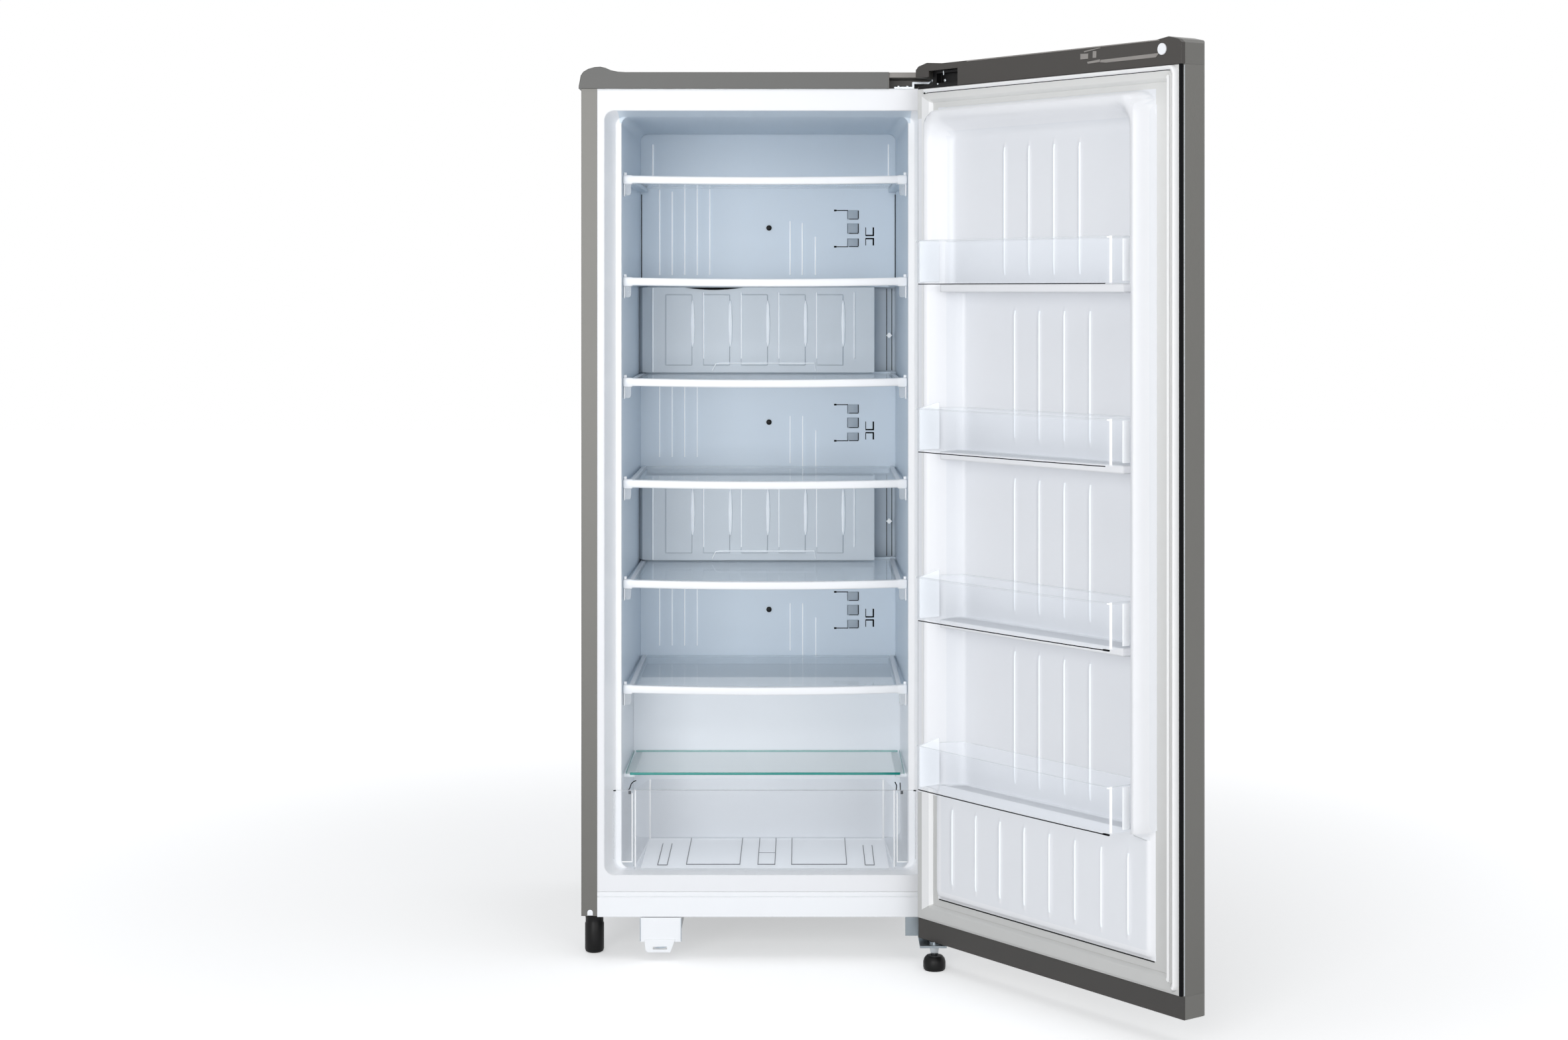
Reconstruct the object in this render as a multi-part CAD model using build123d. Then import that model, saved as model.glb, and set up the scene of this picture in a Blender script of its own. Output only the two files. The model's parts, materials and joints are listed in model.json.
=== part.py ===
# Upright freezer with one door, drawn with the door open.
#
# Millimetres. +X is to the right as seen from the front, +Y is away from the viewer, +Z is up.
# The origin is at floor level, at the centre of the cabinet's footprint.
# The door pieces are drawn in the closed place and are then turned about the hinge line.

from build123d import *
import os

os.makedirs("parts", exist_ok=True)

# ---------------------------------------------------------------- driving dimensions, cabinet
cabinet_width = 530.0
cabinet_depth = 500.0
cabinet_bottom = 64.3           # underside of the side panels
cabinet_top = 1262.0            # top of the steel shell
sheet = 0.8                     # steel sheet
front_fold = 23.0               # width of the steel fold that is seen from the front
rear_fold = 14.0
clearance = 0.3                 # between pieces that move past or rest on each other
half_width = cabinet_width / 2
front = -cabinet_depth / 2
back = cabinet_depth / 2

# ---------------------------------------------------------------- driving dimensions, liner
liner_wall = 2.5
liner_flange_width = 10.6
reveal_depth = 45.0
reveal_slant = 12.4             # how far each side comes in over the reveal
ledge_width = 9.1               # step from the reveal to the chamber
side_draft = 5.9                # how much each side of the chamber narrows to the back
sill_bottom = 98.9
sill_top = 123.9
lintel = 32.0                   # height of the white band above the opening
ceiling_drop = 6.0              # from the mouth of the opening to the chamber's ceiling
ceiling_draft = 4.0
back_insulation = 75.0
corner_radius = 12.0
bay_depth = 190.0               # compressor bay, from the back
bay_top = 322.0
bay_insulation = 50.0
opening_top = cabinet_top - lintel
opening_half_width = half_width - front_fold - liner_flange_width
throat_half_width = opening_half_width - reveal_slant
cavity_half_width = throat_half_width - ledge_width
cavity_back_half_width = cavity_half_width - side_draft
ceiling_front = opening_top - ceiling_drop
ceiling_back = ceiling_front - ceiling_draft
cavity_depth = cabinet_depth - back_insulation
step_depth = cabinet_depth - bay_depth - bay_insulation - 3.0
step_height = bay_top + bay_insulation

# ---------------------------------------------------------------- driving dimensions, inside
lowest_shelf_rise = 16.5        # top of the lowest trim over the step of the chamber
shelf_shares = [0.8926, 0.714, 0.5376, 0.3597, 0.1844, 0.0]     # of the height over the lowest shelf
shelf_trim_height = 11.6
shelf_trim_thickness = 9.0
shelf_front = 66.0              # depth of the trim's ends behind the front
shelf_bow = 8.0                 # how far the trim's middle comes forward
shelf_sag = 2.5                 # how far the trim's top dips at its middle
shelf_side_gap = 2.5            # between a shelf's rear corner and the wall
trim_side_gap = 0.9
trim_block_width = 14.0         # block at each end of a trim
trim_block_reach = 4.0          # how far it reaches behind the trim
shelf_plate = 4.0
glass_margin = 7.0              # side bar of a shelf, beside its glass
rail_reach = 9.0                # how far the side rails stand in from the shelf's edge
rail_height = 6.0
duct_space = 25.0               # behind the flat back panels
duct_wall = 3.0
cover_stand = 50.0              # how far the ribbed covers stand out from the flat panels
cover_left_margin = 21.0
cover_right_margin = 35.0
cover_gap = 1.5                 # over and under a ribbed cover
cover_shoulder = 5.0            # from the wall to the shoulder of a cover's left side
cover_shoulder_depth = 8.0      # from a cover's face back to that shoulder
cover_side_depth = 22.0         # from a cover's face back to where it meets the wall
flute_gap = 18.6                # between two raised ribs of a cover
flute_left_margin = 22.0
flute_right_margin = 50.1
flute_end_margin = 12.0
flute_height = 2.5
glass_shelf_top = 259.8
glass_shelf_thickness = 3.2
drawer_front = 28.0
drawer_side_gap = 10.9          # between the drawer's front and the mouth of the opening
drawer_rim = 241.0
drawer_wall = 2.5
shelf_half_width = cavity_back_half_width - shelf_side_gap
trim_half = cavity_half_width - trim_side_gap
glass_shelf_half_width = cavity_back_half_width - 1.0
duct_depth = cavity_depth - duct_space
cover_depth = duct_depth - cover_stand
cover_half_width = cavity_back_half_width - cover_left_margin
cover_right = cavity_back_half_width - cover_right_margin
drawer_half_width = opening_half_width - drawer_side_gap
drawer_body_half_width = cavity_back_half_width - 1.0
drawer_back = step_depth - 17.0
lowest_shelf_top = step_height + lowest_shelf_rise
shelf_tops = [lowest_shelf_top + share * (opening_top - lowest_shelf_top) for share in shelf_shares]
shelf_plate_top = [top - shelf_sag for top in shelf_tops]

# ---------------------------------------------------------------- driving dimensions, top and base
cover_height = 23.9
crest_height = 7.9              # rise of the top cover's raised end
cover_overhang = 3.8
cover_wall = 2.5
notch_width = 84.5
notch_depth = 62.0
notch_height = 16.0
base_sheet = 2.0
lower_panel_bottom = 62.9
lower_panel_groove = 91.2
cover_top = cabinet_top + cover_height
cover_crest = cover_top + crest_height
notch_left = half_width - notch_width

# ---------------------------------------------------------------- driving dimensions, door
door_gap = 12.0                 # between the cabinet's front and the inside of the door's metal
door_thickness = 42.0
door_metal_bottom = 71.3
door_metal_drop = 3.8           # from the cabinet's top down to the top of the door's metal
door_cap_height = 33.4
door_crest = 2.8                # rise of the cap near both ends
door_bottom = 41.6
door_edge_radius = 9.0
hinge_inset_x = 16.5            # hinge line, from the door's hinge edge
hinge_inset_y = 21.5            # hinge line, from the inside of the door's metal
door_open_angle = 127.0         # as drawn
metal_return = 8.0              # fold of the metal behind the liner's flange
cap_wall = 3.0
cap_lip = 5.0                   # how far the top cap comes in over the gap
door_width = cabinet_width
door_metal_top = cabinet_top - door_metal_drop
door_cap_top = door_metal_top + door_cap_height

door_liner_wall = 3.0
door_flange = 3.0               # rise of the liner's flange over the metal
flange_inset = 6.0
gasket_height = 8.7
gasket_inset = 7.0
gasket_hinge_inset = 17.0       # clear of the cabinet while the door turns
gasket_width = 20.0
gasket_bottom = 76.0
dyke_inset = 51.6               # outer edge of the raised border
dyke_height = 37.0
dyke_corner = 34.0
dyke_base_inset = 46.0
dyke_inner_top = 60.0
dyke_inner_base = 85.0
dyke_bottom = 258.0
panel_recess = -16.0            # panel behind the baskets
upper_panel = 2.8               # panel above the top basket
plateau_height = 11.6           # stays in the gap in front of the sill
plateau_bottom = 107.0
gasket_top = door_metal_top - 9.2
dyke_top = door_metal_top - 34.2

lowest_basket_rise = 14.7       # over the bottom of the raised border
basket_shares = [0.7425, 0.4959, 0.2482, 0.0]       # of the height from there to the border's top
basket_height = 61.0
basket_inset = 72.0
basket_front_height = 62.0      # distance of the basket's front from the inside of the metal
basket_bow = 3.0
basket_back = -12.0
basket_wall = 2.4
basket_lift = 25.0
ledge_height = 11.5
ledge_reach = 28.0
lowest_basket = dyke_bottom + lowest_basket_rise
basket_bottoms = [lowest_basket + share * (dyke_top - lowest_basket) for share in basket_shares]

# ---------------------------------------------------------------- driving dimensions, feet and hinges
left_foot_inset_x = 15.0
left_foot_inset_y = 52.0
left_foot_radius = 14.0
left_foot_height = 46.0
right_foot_inset_x = 21.6
right_foot_reach = 50.0         # in front of the cabinet
right_foot_radius = 16.0
right_foot_height = 21.5
stud_radius = 5.7
hinge_plate = 3.0
lower_plate_bottom = 35.0
pin_radius = 4.0
running_fit = 0.05
bush_wall = 2.5
bush_length = 16.0
rear_foot_radius = 16.0
rear_foot_inset_x = 35.0
rear_foot_inset_y = 40.0
left_foot_x = left_foot_inset_x - half_width
right_foot_x = half_width - right_foot_inset_x

# ---------------------------------------------------------------- the hinge line
metal_plane = front - door_gap              # inside of the door's metal, closed
hinge_x = half_width - hinge_inset_x
hinge_y = metal_plane - hinge_inset_y


# ---------------------------------------------------------------- helpers
def block(x0, x1, y0, y1, z0, z1):
    """Box between two corners."""
    return Pos((x0 + x1) / 2, (y0 + y1) / 2, (z0 + z1) / 2) * Box(x1 - x0, y1 - y0, z1 - z0)


def post(x, y, z0, z1, radius):
    """Upright cylinder."""
    return Pos(x, y, (z0 + z1) / 2) * Cylinder(radius, z1 - z0)


def barrel(x, z, y0, y1, radius):
    """Cylinder that lies along the depth."""
    return Pos(x, (y0 + y1) / 2, z) * Rot(90, 0, 0) * Cylinder(radius, y1 - y0)


def standing_face(x0, x1, z0, z1, y, radius):
    """Rounded rectangle that stands across the depth."""
    place = Plane(origin=((x0 + x1) / 2, y, (z0 + z1) / 2), x_dir=(1, 0, 0), z_dir=(0, -1, 0))
    return place * RectangleRounded(x1 - x0, z1 - z0, radius)


def profile_along_depth(points, y0, y1):
    """Extrude an outline of (x, z) points from y0 to y1."""
    place = Plane(origin=(0, y1, 0), x_dir=(1, 0, 0), z_dir=(0, -1, 0))
    return extrude(place * make_face(Polyline(*points, close=True)), y1 - y0)


def plan_outline(points, z0, z1):
    """Extrude a plan outline of (x, y) points from z0 to z1."""
    return extrude(Plane.XY.offset(z0) * make_face(Polyline(*points, close=True)), z1 - z0)


def mirrored(shape):
    """The same piece on the other side of the cabinet."""
    return mirror(shape, about=Plane.YZ)


pieces = {}


def keep(name, shape):
    """Name a finished piece."""
    pieces[name] = shape
    return shape


# ---------------------------------------------------------------- cabinet liner
def cavity(grow):
    """Inside of the liner, grown outwards by a wall."""
    mouth = standing_face(-opening_half_width - grow, opening_half_width + grow,
                          sill_top - grow, opening_top + grow, front, corner_radius + 2 + grow)
    throat = standing_face(-throat_half_width - grow, throat_half_width + grow,
                           sill_top - grow, ceiling_front + grow,
                           front + reveal_depth + grow, corner_radius + grow)
    near = standing_face(-cavity_half_width - grow, cavity_half_width + grow,
                         sill_top - grow, ceiling_front + grow,
                         front + reveal_depth, corner_radius + grow)
    far = standing_face(-cavity_back_half_width - grow, cavity_back_half_width + grow,
                        sill_top - grow, ceiling_back + grow,
                        front + cavity_depth + grow, corner_radius + grow)
    chamber = loft([near, far])
    step = block(-half_width, half_width, front + step_depth + grow, back,
                 cabinet_bottom, step_height - grow)
    return loft([mouth, throat]) + (chamber - step)


inside = cavity(0)
liner_outside = cavity(liner_wall)
flange_x = opening_half_width + liner_flange_width
flange_ring = block(-flange_x, flange_x, front, front + liner_wall, sill_bottom, cabinet_top - sheet)


rail_start = front + shelf_front + shelf_trim_thickness + trim_block_reach + 1


def shelf_rails():
    """Ledges of the side walls that carry the shelves."""
    rails = []
    seats = [top - shelf_plate - clearance for top in shelf_plate_top]
    seats.append(glass_shelf_top - glass_shelf_thickness - clearance)
    for index, seat in enumerate(seats):
        lowest = index == len(seats) - 1
        rail_end = step_depth if lowest else duct_depth
        rail = block(shelf_half_width - rail_reach, half_width, rail_start,
                     front + rail_end - 2, seat - rail_height, seat)
        rails += [rail, mirrored(rail)]
    return rails


rail_limit = cavity(liner_wall / 2)
liner = liner_outside + flange_ring - inside
for rail in shelf_rails():
    liner += rail & rail_limit


# ---------------------------------------------------------------- cabinet shell
shell_half = half_width - sheet             # inside of the side panels
base_top = cabinet_bottom + base_sheet
bay_front = back - bay_depth
top_sheet = cabinet_top - sheet
foot_slot_x = 12.7 - half_width
foot_slot_radius = 4.0
foot_slot_height = 5.0

side = block(half_width - sheet, half_width, front, back, cabinet_bottom, cabinet_top)
side += block(half_width - front_fold, half_width, front, front + sheet, cabinet_bottom, cabinet_top)
side += block(half_width - rear_fold, half_width, back - sheet, back, cabinet_bottom, cabinet_top)
keep("side_panel_right", side)
foot_slot = block(foot_slot_x - foot_slot_radius, foot_slot_x + foot_slot_radius, front - 1,
                  front + sheet + 1, cabinet_bottom - 1, cabinet_bottom + foot_slot_height)
foot_slot += barrel(foot_slot_x, cabinet_bottom + foot_slot_height, front - 1, front + sheet + 1,
                    foot_slot_radius)
keep("side_panel_left", mirrored(side) - foot_slot)
keep("back_panel", block(-shell_half, shell_half, back - 2 * sheet, back - sheet, bay_top, top_sheet))

screw_xs = [half_width - 70, half_width - 57]
screw_y = front + 25
screw_radius = 2.2
screw_head_radius = 4.2
screw_head_height = 2.6
screw_holes = [post(x, screw_y, top_sheet - 1, cabinet_top + 20, screw_radius) for x in screw_xs]

top_panel = block(-shell_half, shell_half, front + sheet, back - sheet, top_sheet, cabinet_top)
for hole in screw_holes:
    top_panel -= hole
keep("top_panel", top_panel)

# The foam fills the space between the shell and the liner.
panel_thickness = liner_wall
foam = block(-shell_half, shell_half, front + sheet, back - 2 * sheet, base_top, top_sheet)
foam -= liner_outside
foam -= flange_ring
foam -= block(-shell_half, shell_half, bay_front, back, cabinet_bottom, bay_top + sheet)
foam -= block(-flange_x, flange_x, front, front + panel_thickness, cabinet_bottom, sill_bottom)

# Drain of the chamber above the compressor bay.
drain_x = 60.0
drain_y = front + cavity_depth - 11
drain_radius = 7.0
drain_wall = 1.5
drain_end = 285.0
drain_bore = post(drain_x, drain_y, drain_end - 5, step_height + 5, drain_radius)
foam -= drain_bore
keep("foam_insulation", foam)
liner -= drain_bore
keep("inner_liner", liner)
drain = post(drain_x, drain_y, drain_end, step_height + 2, drain_radius)
drain += post(drain_x, drain_y, step_height, step_height + 2, drain_radius + 3)
drain -= post(drain_x, drain_y, drain_end - 1, step_height + 3, drain_radius - drain_wall)
keep("drain_tube", drain)

shield = block(-shell_half, shell_half, bay_front, bay_front + sheet, base_top, bay_top + sheet)
shield += block(-shell_half, shell_half, bay_front, back - 2 * sheet, bay_top, bay_top + sheet)
shield -= drain_bore
keep("compressor_bay_shield", shield)

# ---------------------------------------------------------------- top cover
cover_half = half_width + cover_overhang
cover_slope = 1.9
cover_edge_rise = 3.5
cover_slope_drop = 0.7
crest_x = 31 - half_width
crest_end_x = 57 - half_width
cover_front = front - 1.5
cover_profile = [
    (-cover_half, cabinet_top), (-cover_half, cabinet_top + cover_edge_rise),
    (-cover_half + cover_slope, cover_top - cover_slope_drop), (crest_x, cover_crest),
    (crest_end_x, cover_top), (cover_half - cover_slope, cover_top),
    (cover_half, cabinet_top + cover_edge_rise), (cover_half, cabinet_top)]
cover = profile_along_depth(cover_profile, cover_front, back)
cover -= block(-half_width + cover_wall, half_width - cover_wall, front + cover_wall,
               back - cover_wall, cabinet_top, cover_top - cover_wall)
notch_top = cabinet_top + notch_height
cover -= block(notch_left, cover_half + 1, cover_front - 1, front + notch_depth, cabinet_top, notch_top)
keep("top_cover", cover)

# ---------------------------------------------------------------- lower front panel and base
lower = block(-flange_x, flange_x, front, front + panel_thickness, lower_panel_bottom, sill_bottom)
lower -= block(-flange_x, flange_x, front, front + 1, lower_panel_groove, lower_panel_groove + 1.6)
lower_lip = 12.0
lower += block(-flange_x, flange_x, front, front + lower_lip, lower_panel_bottom, cabinet_bottom)

tray_left = 85 - half_width
tray_right = tray_left + 60
tray_face_bottom = 27.0
tray_face_top = 62.0
tray_face_y = front - 1.0
tray_face = 3.0
tray_length = 165.0
tray_wall = 2.0
tray_floor = 41.0
tray_rim = 58.0
tray_tab_bottom = 12.0
tray_tab_top = 31.0
tab_left = 6.0                  # from the tray's left side
tab_right = 9.0
tab_slant = 7.0
tab_corner = 3.0
runner_wall = 2.0
runner_foot = 6.0
tab_slot_left = 18.5
tab_slot_right = 39.0
tab_slot_bottom = 16.5
tab_slot_top = 20.0
lower_hinge_web = front + panel_thickness + 0.5

base = block(-shell_half, shell_half, front + lower_lip, back - sheet, cabinet_bottom, base_top)
base += block(-shell_half, shell_half, front + panel_thickness, front + lower_lip, cabinet_bottom, base_top)
left_foot_y = front + left_foot_inset_y
foot_stud_radius = 5.0
base -= post(left_foot_x, left_foot_y, cabinet_bottom - 1, base_top + 1, foot_stud_radius + clearance)
# Two runners carry the drip tray below the base.
runner_x = (tray_left + tray_right) / 2
for side_sign in (-1, 1):
    inner = runner_x + side_sign * ((tray_right - tray_left) / 2 - 3)
    outer = inner + side_sign * runner_wall
    foot_end = inner - side_sign * runner_foot
    runner_front = front + lower_lip + 1
    low = min(inner, outer)
    base += block(low, low + runner_wall, runner_front, runner_front + tray_length,
                  tray_floor - clearance - runner_wall, cabinet_bottom)
    low = min(outer, foot_end)
    base += block(low, low + runner_wall + runner_foot, runner_front, runner_front + tray_length,
                  tray_floor - clearance - runner_wall, tray_floor - clearance)
keep("base_plate", base)

tray_half = (tray_right - tray_left) / 2 - 3 - clearance
tray_back = front + tray_length
tray = block(runner_x - tray_half, runner_x + tray_half, tray_face_y, tray_back, tray_floor, tray_rim)
tray -= block(runner_x - tray_half + tray_wall, runner_x + tray_half - tray_wall,
              tray_face_y + tray_face, tray_back - tray_wall, tray_floor + tray_wall, tray_rim)
tray += block(tray_left, tray_right, tray_face_y, tray_face_y + tray_face, tray_face_bottom, tray_face_top)
tab_low_left = tray_left + tab_left + tab_slant - 2
tab_profile = [(tray_left + tab_left, tray_tab_top),
               (tab_low_left - tab_corner, tray_tab_bottom + tab_corner),
               (tab_low_left, tray_tab_bottom), (tray_right - tab_right - tab_slant, tray_tab_bottom),
               (tray_right - tab_right, tray_tab_top)]
tray += profile_along_depth(tab_profile, tray_face_y - 1, tray_face_y + tray_face - 1)
tab_slot = block(tray_left + tab_slot_left, tray_left + tab_slot_right, tray_face_y - 2,
                 tray_face_y + tray_face + 1, tab_slot_bottom, tab_slot_top)
keep("drip_tray", tray - tab_slot)

# ---------------------------------------------------------------- feet
foot = post(left_foot_x, left_foot_y, 0, left_foot_height, left_foot_radius)
foot += post(left_foot_x, left_foot_y, left_foot_height, cabinet_bottom - clearance, left_foot_radius - 1)
foot += post(left_foot_x, left_foot_y, cabinet_bottom - clearance, base_top - clearance, foot_stud_radius)
keep("left_foot", foot)

right_foot_y = front - right_foot_reach
lower_plate_top = lower_plate_bottom + hinge_plate
stud_top = lower_plate_top + 2.6
stud_socket = 6.0
pad = post(right_foot_x, right_foot_y, 0, right_foot_height, right_foot_radius)
pad = fillet(pad.faces().sort_by(Axis.Z)[-1].edges(), right_foot_radius / 2)
pad -= post(right_foot_x, right_foot_y, stud_socket, right_foot_height + 1, stud_radius)
stud = post(right_foot_x, right_foot_y, stud_socket, stud_top, stud_radius)
keep("right_foot", Compound(children=[pad, stud]))

rear_foot_x = half_width - rear_foot_inset_x
rear_foot_y = back - rear_foot_inset_y
rear_foot = post(rear_foot_x, rear_foot_y, 0, cabinet_bottom, rear_foot_radius)
keep("rear_feet", Compound(children=[rear_foot, mirrored(rear_foot)]))

# ---------------------------------------------------------------- hinges
bracket_left = half_width - 61
bracket_right = half_width - 5
bracket_reach = front - 68
bracket_back = front + 60
web_back = lower_hinge_web + hinge_plate
plate = block(bracket_left + 18, bracket_right, bracket_reach, web_back, lower_plate_bottom, lower_plate_top)
plate += block(bracket_left, bracket_right, lower_hinge_web, web_back, lower_plate_bottom, cabinet_bottom)
plate += block(bracket_left, bracket_right, lower_hinge_web, bracket_back,
               cabinet_bottom - hinge_plate, cabinet_bottom)
plate -= post(right_foot_x, right_foot_y, 0, stud_top + 1, stud_radius + clearance)
plate -= post(hinge_x, hinge_y, 0, stud_top, pin_radius)
keep("lower_hinge_bracket", plate)
lower -= block(bracket_left - 1, bracket_right, lower_hinge_web - 0.1, front + lower_lip + 1,
               lower_panel_bottom - 1, cabinet_bottom)
keep("lower_front_panel", lower)

collar_radius = 6.0
lower_pin_top = door_bottom + bush_length
lower_pin = post(hinge_x, hinge_y, lower_plate_bottom, lower_pin_top, pin_radius)
lower_pin += post(hinge_x, hinge_y, lower_plate_top, door_bottom - clearance, collar_radius)
keep("lower_hinge_pin", lower_pin)

top_bracket_left = half_width - 77
top_step_x = half_width - 48
top_arm_bottom = cabinet_top + 7
top_arm_top = top_arm_bottom + hinge_plate
arm_half = 10.0
top_bracket_back = front + 50
arm = block(top_bracket_left, top_step_x, front + 4, top_bracket_back, cabinet_top, cabinet_top + hinge_plate)
arm += block(top_step_x - hinge_plate, top_step_x, front + 4, top_bracket_back, cabinet_top, top_arm_top)
arm += block(top_step_x - hinge_plate, hinge_x + arm_half, front + 4, top_bracket_back,
             top_arm_bottom, top_arm_top)
arm += block(hinge_x - arm_half, hinge_x + arm_half, hinge_y, front + 4, top_arm_bottom, top_arm_top)
arm += post(hinge_x, hinge_y, top_arm_bottom, top_arm_top, arm_half)
for hole in screw_holes:
    arm -= hole
arm -= post(hinge_x, hinge_y, cabinet_top, top_arm_top + 1, pin_radius)
keep("top_hinge_bracket", arm)
top_pin_bottom = door_metal_top + door_metal_drop - bush_length
keep("top_hinge_pin", post(hinge_x, hinge_y, top_pin_bottom, top_arm_top, pin_radius))
screw_seat = cabinet_top + hinge_plate
screws = []
for x in screw_xs:
    screw = post(x, screw_y, top_sheet, screw_seat, screw_radius)
    screw += post(x, screw_y, screw_seat, screw_seat + screw_head_height, screw_head_radius)
    screws.append(screw)
keep("hinge_screws", Compound(children=screws))

# ---------------------------------------------------------------- compressor bay
compressor_inset_x = 155.0
compressor_inset_y = 95.0
compressor_x = half_width - compressor_inset_x
compressor_y = back - compressor_inset_y
can_radius = 60.0
can_top = 240.0
can_rounding = 24.0
mount_plate_bottom = 80.0
mount_plate_top = 83.0
mount_half_x = 66.0
mount_half_y = 30.0
mount_radius = 9.0
mount_margin = 12.0             # plate round the mounts

can = post(compressor_x, compressor_y, mount_plate_bottom + 1, can_top, can_radius)
can = fillet(can.edges().filter_by(GeomType.CIRCLE), can_rounding)
mount_plate_x = mount_half_x + mount_margin
mount_plate_y = mount_half_y + mount_margin
can += block(compressor_x - mount_plate_x, compressor_x + mount_plate_x,
             compressor_y - mount_plate_y, compressor_y + mount_plate_y,
             mount_plate_bottom, mount_plate_top)
keep("compressor", can)
mounts = [post(compressor_x + sx * mount_half_x, compressor_y + sy * mount_half_y,
               base_top, mount_plate_bottom, mount_radius) for sx in (-1, 1) for sy in (-1, 1)]
keep("compressor_mounts", Compound(children=mounts))

pan_wall = 2.0
pan_height = 24.0
pan_left = drain_x - 12.0
pan_right = pan_left + 122.0
pan_front = drain_y - 60.0
pan_back = pan_front + 110.0
pan = block(pan_left, pan_right, pan_front, pan_back, can_top, can_top + pan_height)
pan -= block(pan_left + pan_wall, pan_right - pan_wall, pan_front + pan_wall,
             pan_back - pan_wall, can_top + pan_wall, can_top + pan_height + 1)
keep("evaporating_pan", pan)

tube_radius = 2.4
tube_pitch = 25.0
tube_passes = 8
tube_inset = 30.0               # from the cabinet's side to the tube's bends
tube_clear = 135.0              # from the compressor's centre to the tube's bends
tube_left = tube_inset - half_width
tube_right = compressor_x - tube_clear
tube_start = 120.0
strip_width = 12.0
strip_half = 1.0
strip_margin = 45.0
tube_points = [(compressor_x - can_radius, compressor_y, tube_start)]
for number in range(tube_passes):
    level = tube_start + number * tube_pitch
    from_x, to_x = (tube_right, tube_left) if number % 2 == 0 else (tube_left, tube_right)
    if number > 0:
        tube_points.append((from_x, compressor_y, level))
    tube_points.append((to_x, compressor_y, level))
tube_path = FilletPolyline(*tube_points, radius=tube_pitch / 2 - 0.5)
tube_end = Plane(origin=tube_path @ 0, z_dir=tube_path % 0)
condenser = sweep(tube_end * Circle(tube_radius), path=tube_path)
strip_top = tube_start + (tube_passes - 1) * tube_pitch + strip_width
for strip_x in (tube_left + strip_margin, tube_right - strip_margin - strip_width):
    condenser += block(strip_x, strip_x + strip_width, compressor_y - strip_half,
                       compressor_y + strip_half, base_top, strip_top)
keep("condenser", condenser)

box_front = bay_front + sheet
box_left = compressor_x - 145.0
box_width = 60.0
box_depth = 32.0
box_top = bay_top - 32.0
box_height = 85.0
keep("control_box", block(box_left, box_left + box_width, box_front, box_front + box_depth,
                          box_top - box_height, box_top))
inlet_back = back - 8
inlet_left = compressor_x - 140.0
inlet_width = 32.0
inlet_length = 26.0
inlet_height = 30.0
socket_side = 5.0
socket_edge = 7.0
socket_depth = 16.0
inlet = block(inlet_left, inlet_left + inlet_width, inlet_back - inlet_length, inlet_back,
              base_top, base_top + inlet_height)
inlet -= block(inlet_left + socket_side, inlet_left + inlet_width - socket_side,
               inlet_back - socket_depth, inlet_back + 1, base_top + socket_edge,
               base_top + inlet_height - socket_edge)
keep("power_inlet", inlet)

# ---------------------------------------------------------------- ducts, fan and evaporator
duct_back = front + duct_depth + duct_wall
liner_back = front + cavity_depth
below_rail = shelf_plate + clearance + rail_height + cover_gap
cover_spans = [(shelf_plate_top[2] + cover_gap, shelf_plate_top[1] - below_rail),
               (shelf_plate_top[4] + cover_gap, shelf_plate_top[3] - below_rail)]
flute_count = 5
flute_start = flute_left_margin - cover_half_width
flute_run = cover_right - flute_right_margin - flute_start
flute_pitch = (flute_run + flute_gap) / flute_count


def ribbed_cover(z0, z1):
    """Hollow cover with raised ribs that stands out from the back wall."""
    y = front + cover_depth
    wall = duct_wall
    side_x = -cavity_back_half_width
    shoulder_x = side_x + cover_shoulder
    shoulder_y = y + cover_shoulder_depth
    side_y = y + cover_side_depth
    beyond_y = side_y + (side_y - shoulder_y) / cover_shoulder
    outer = plan_outline([(-half_width, duct_back), (-half_width, beyond_y), (side_x, side_y),
                          (shoulder_x, shoulder_y), (-cover_half_width, y), (cover_right, y),
                          (cover_right, duct_back)], z0, z1)
    inner = plan_outline([(-half_width, duct_back + 1), (-half_width, beyond_y + wall),
                          (side_x + wall, side_y + wall / 2), (shoulder_x + wall, shoulder_y + wall),
                          (-cover_half_width + wall, y + wall), (cover_right - wall, y + wall),
                          (cover_right - wall, duct_back + 1)], z0 - 1, z1 + 1)
    shape = outer - inner
    for number in range(flute_count):
        x = flute_start + number * flute_pitch
        shape += block(x, x + flute_pitch - flute_gap, y - flute_height, y,
                       z0 + flute_end_margin, z1 - flute_end_margin)
    return shape & inside


keep("duct_cover_upper", ribbed_cover(*cover_spans[0]))
keep("duct_cover_lower", ribbed_cover(*cover_spans[1]))

vent_inset = 59.0               # from the back wall's right end to the vents
vent_width = 18.0
vent_right = cavity_back_half_width - vent_inset
vent_left = vent_right - vent_width
vent_rows = [(14, 28), (-9, 7), (-30, -17)]
panel_screw_x = 1.4
panel_screw_rises = [80.7, 67.8, 70.5]      # over the shelf below each screw
panel_screw_zs = [top + rise for top, rise in zip(shelf_tops[1::2], panel_screw_rises)]
panel_screw_radius = 2.0
panel_head_radius = 4.2
panel_spans = [(cover_spans[0][1], opening_top), (cover_spans[1][1], cover_spans[0][0]),
               (step_height, cover_spans[1][0])]
for name, span, screw_z in zip(("upper", "middle", "lower"), panel_spans, panel_screw_zs):
    panel = block(-half_width, half_width, front + duct_depth, duct_back, *span) & inside
    for low, high in vent_rows:
        panel -= block(vent_left, vent_right, front + duct_depth - 1, duct_back + 1,
                       screw_z + low, screw_z + high)
    panel -= barrel(panel_screw_x, screw_z, front + duct_depth - 1, duct_back + 1, panel_screw_radius)
    keep("duct_panel_" + name, panel)
panel_screws = []
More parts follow.
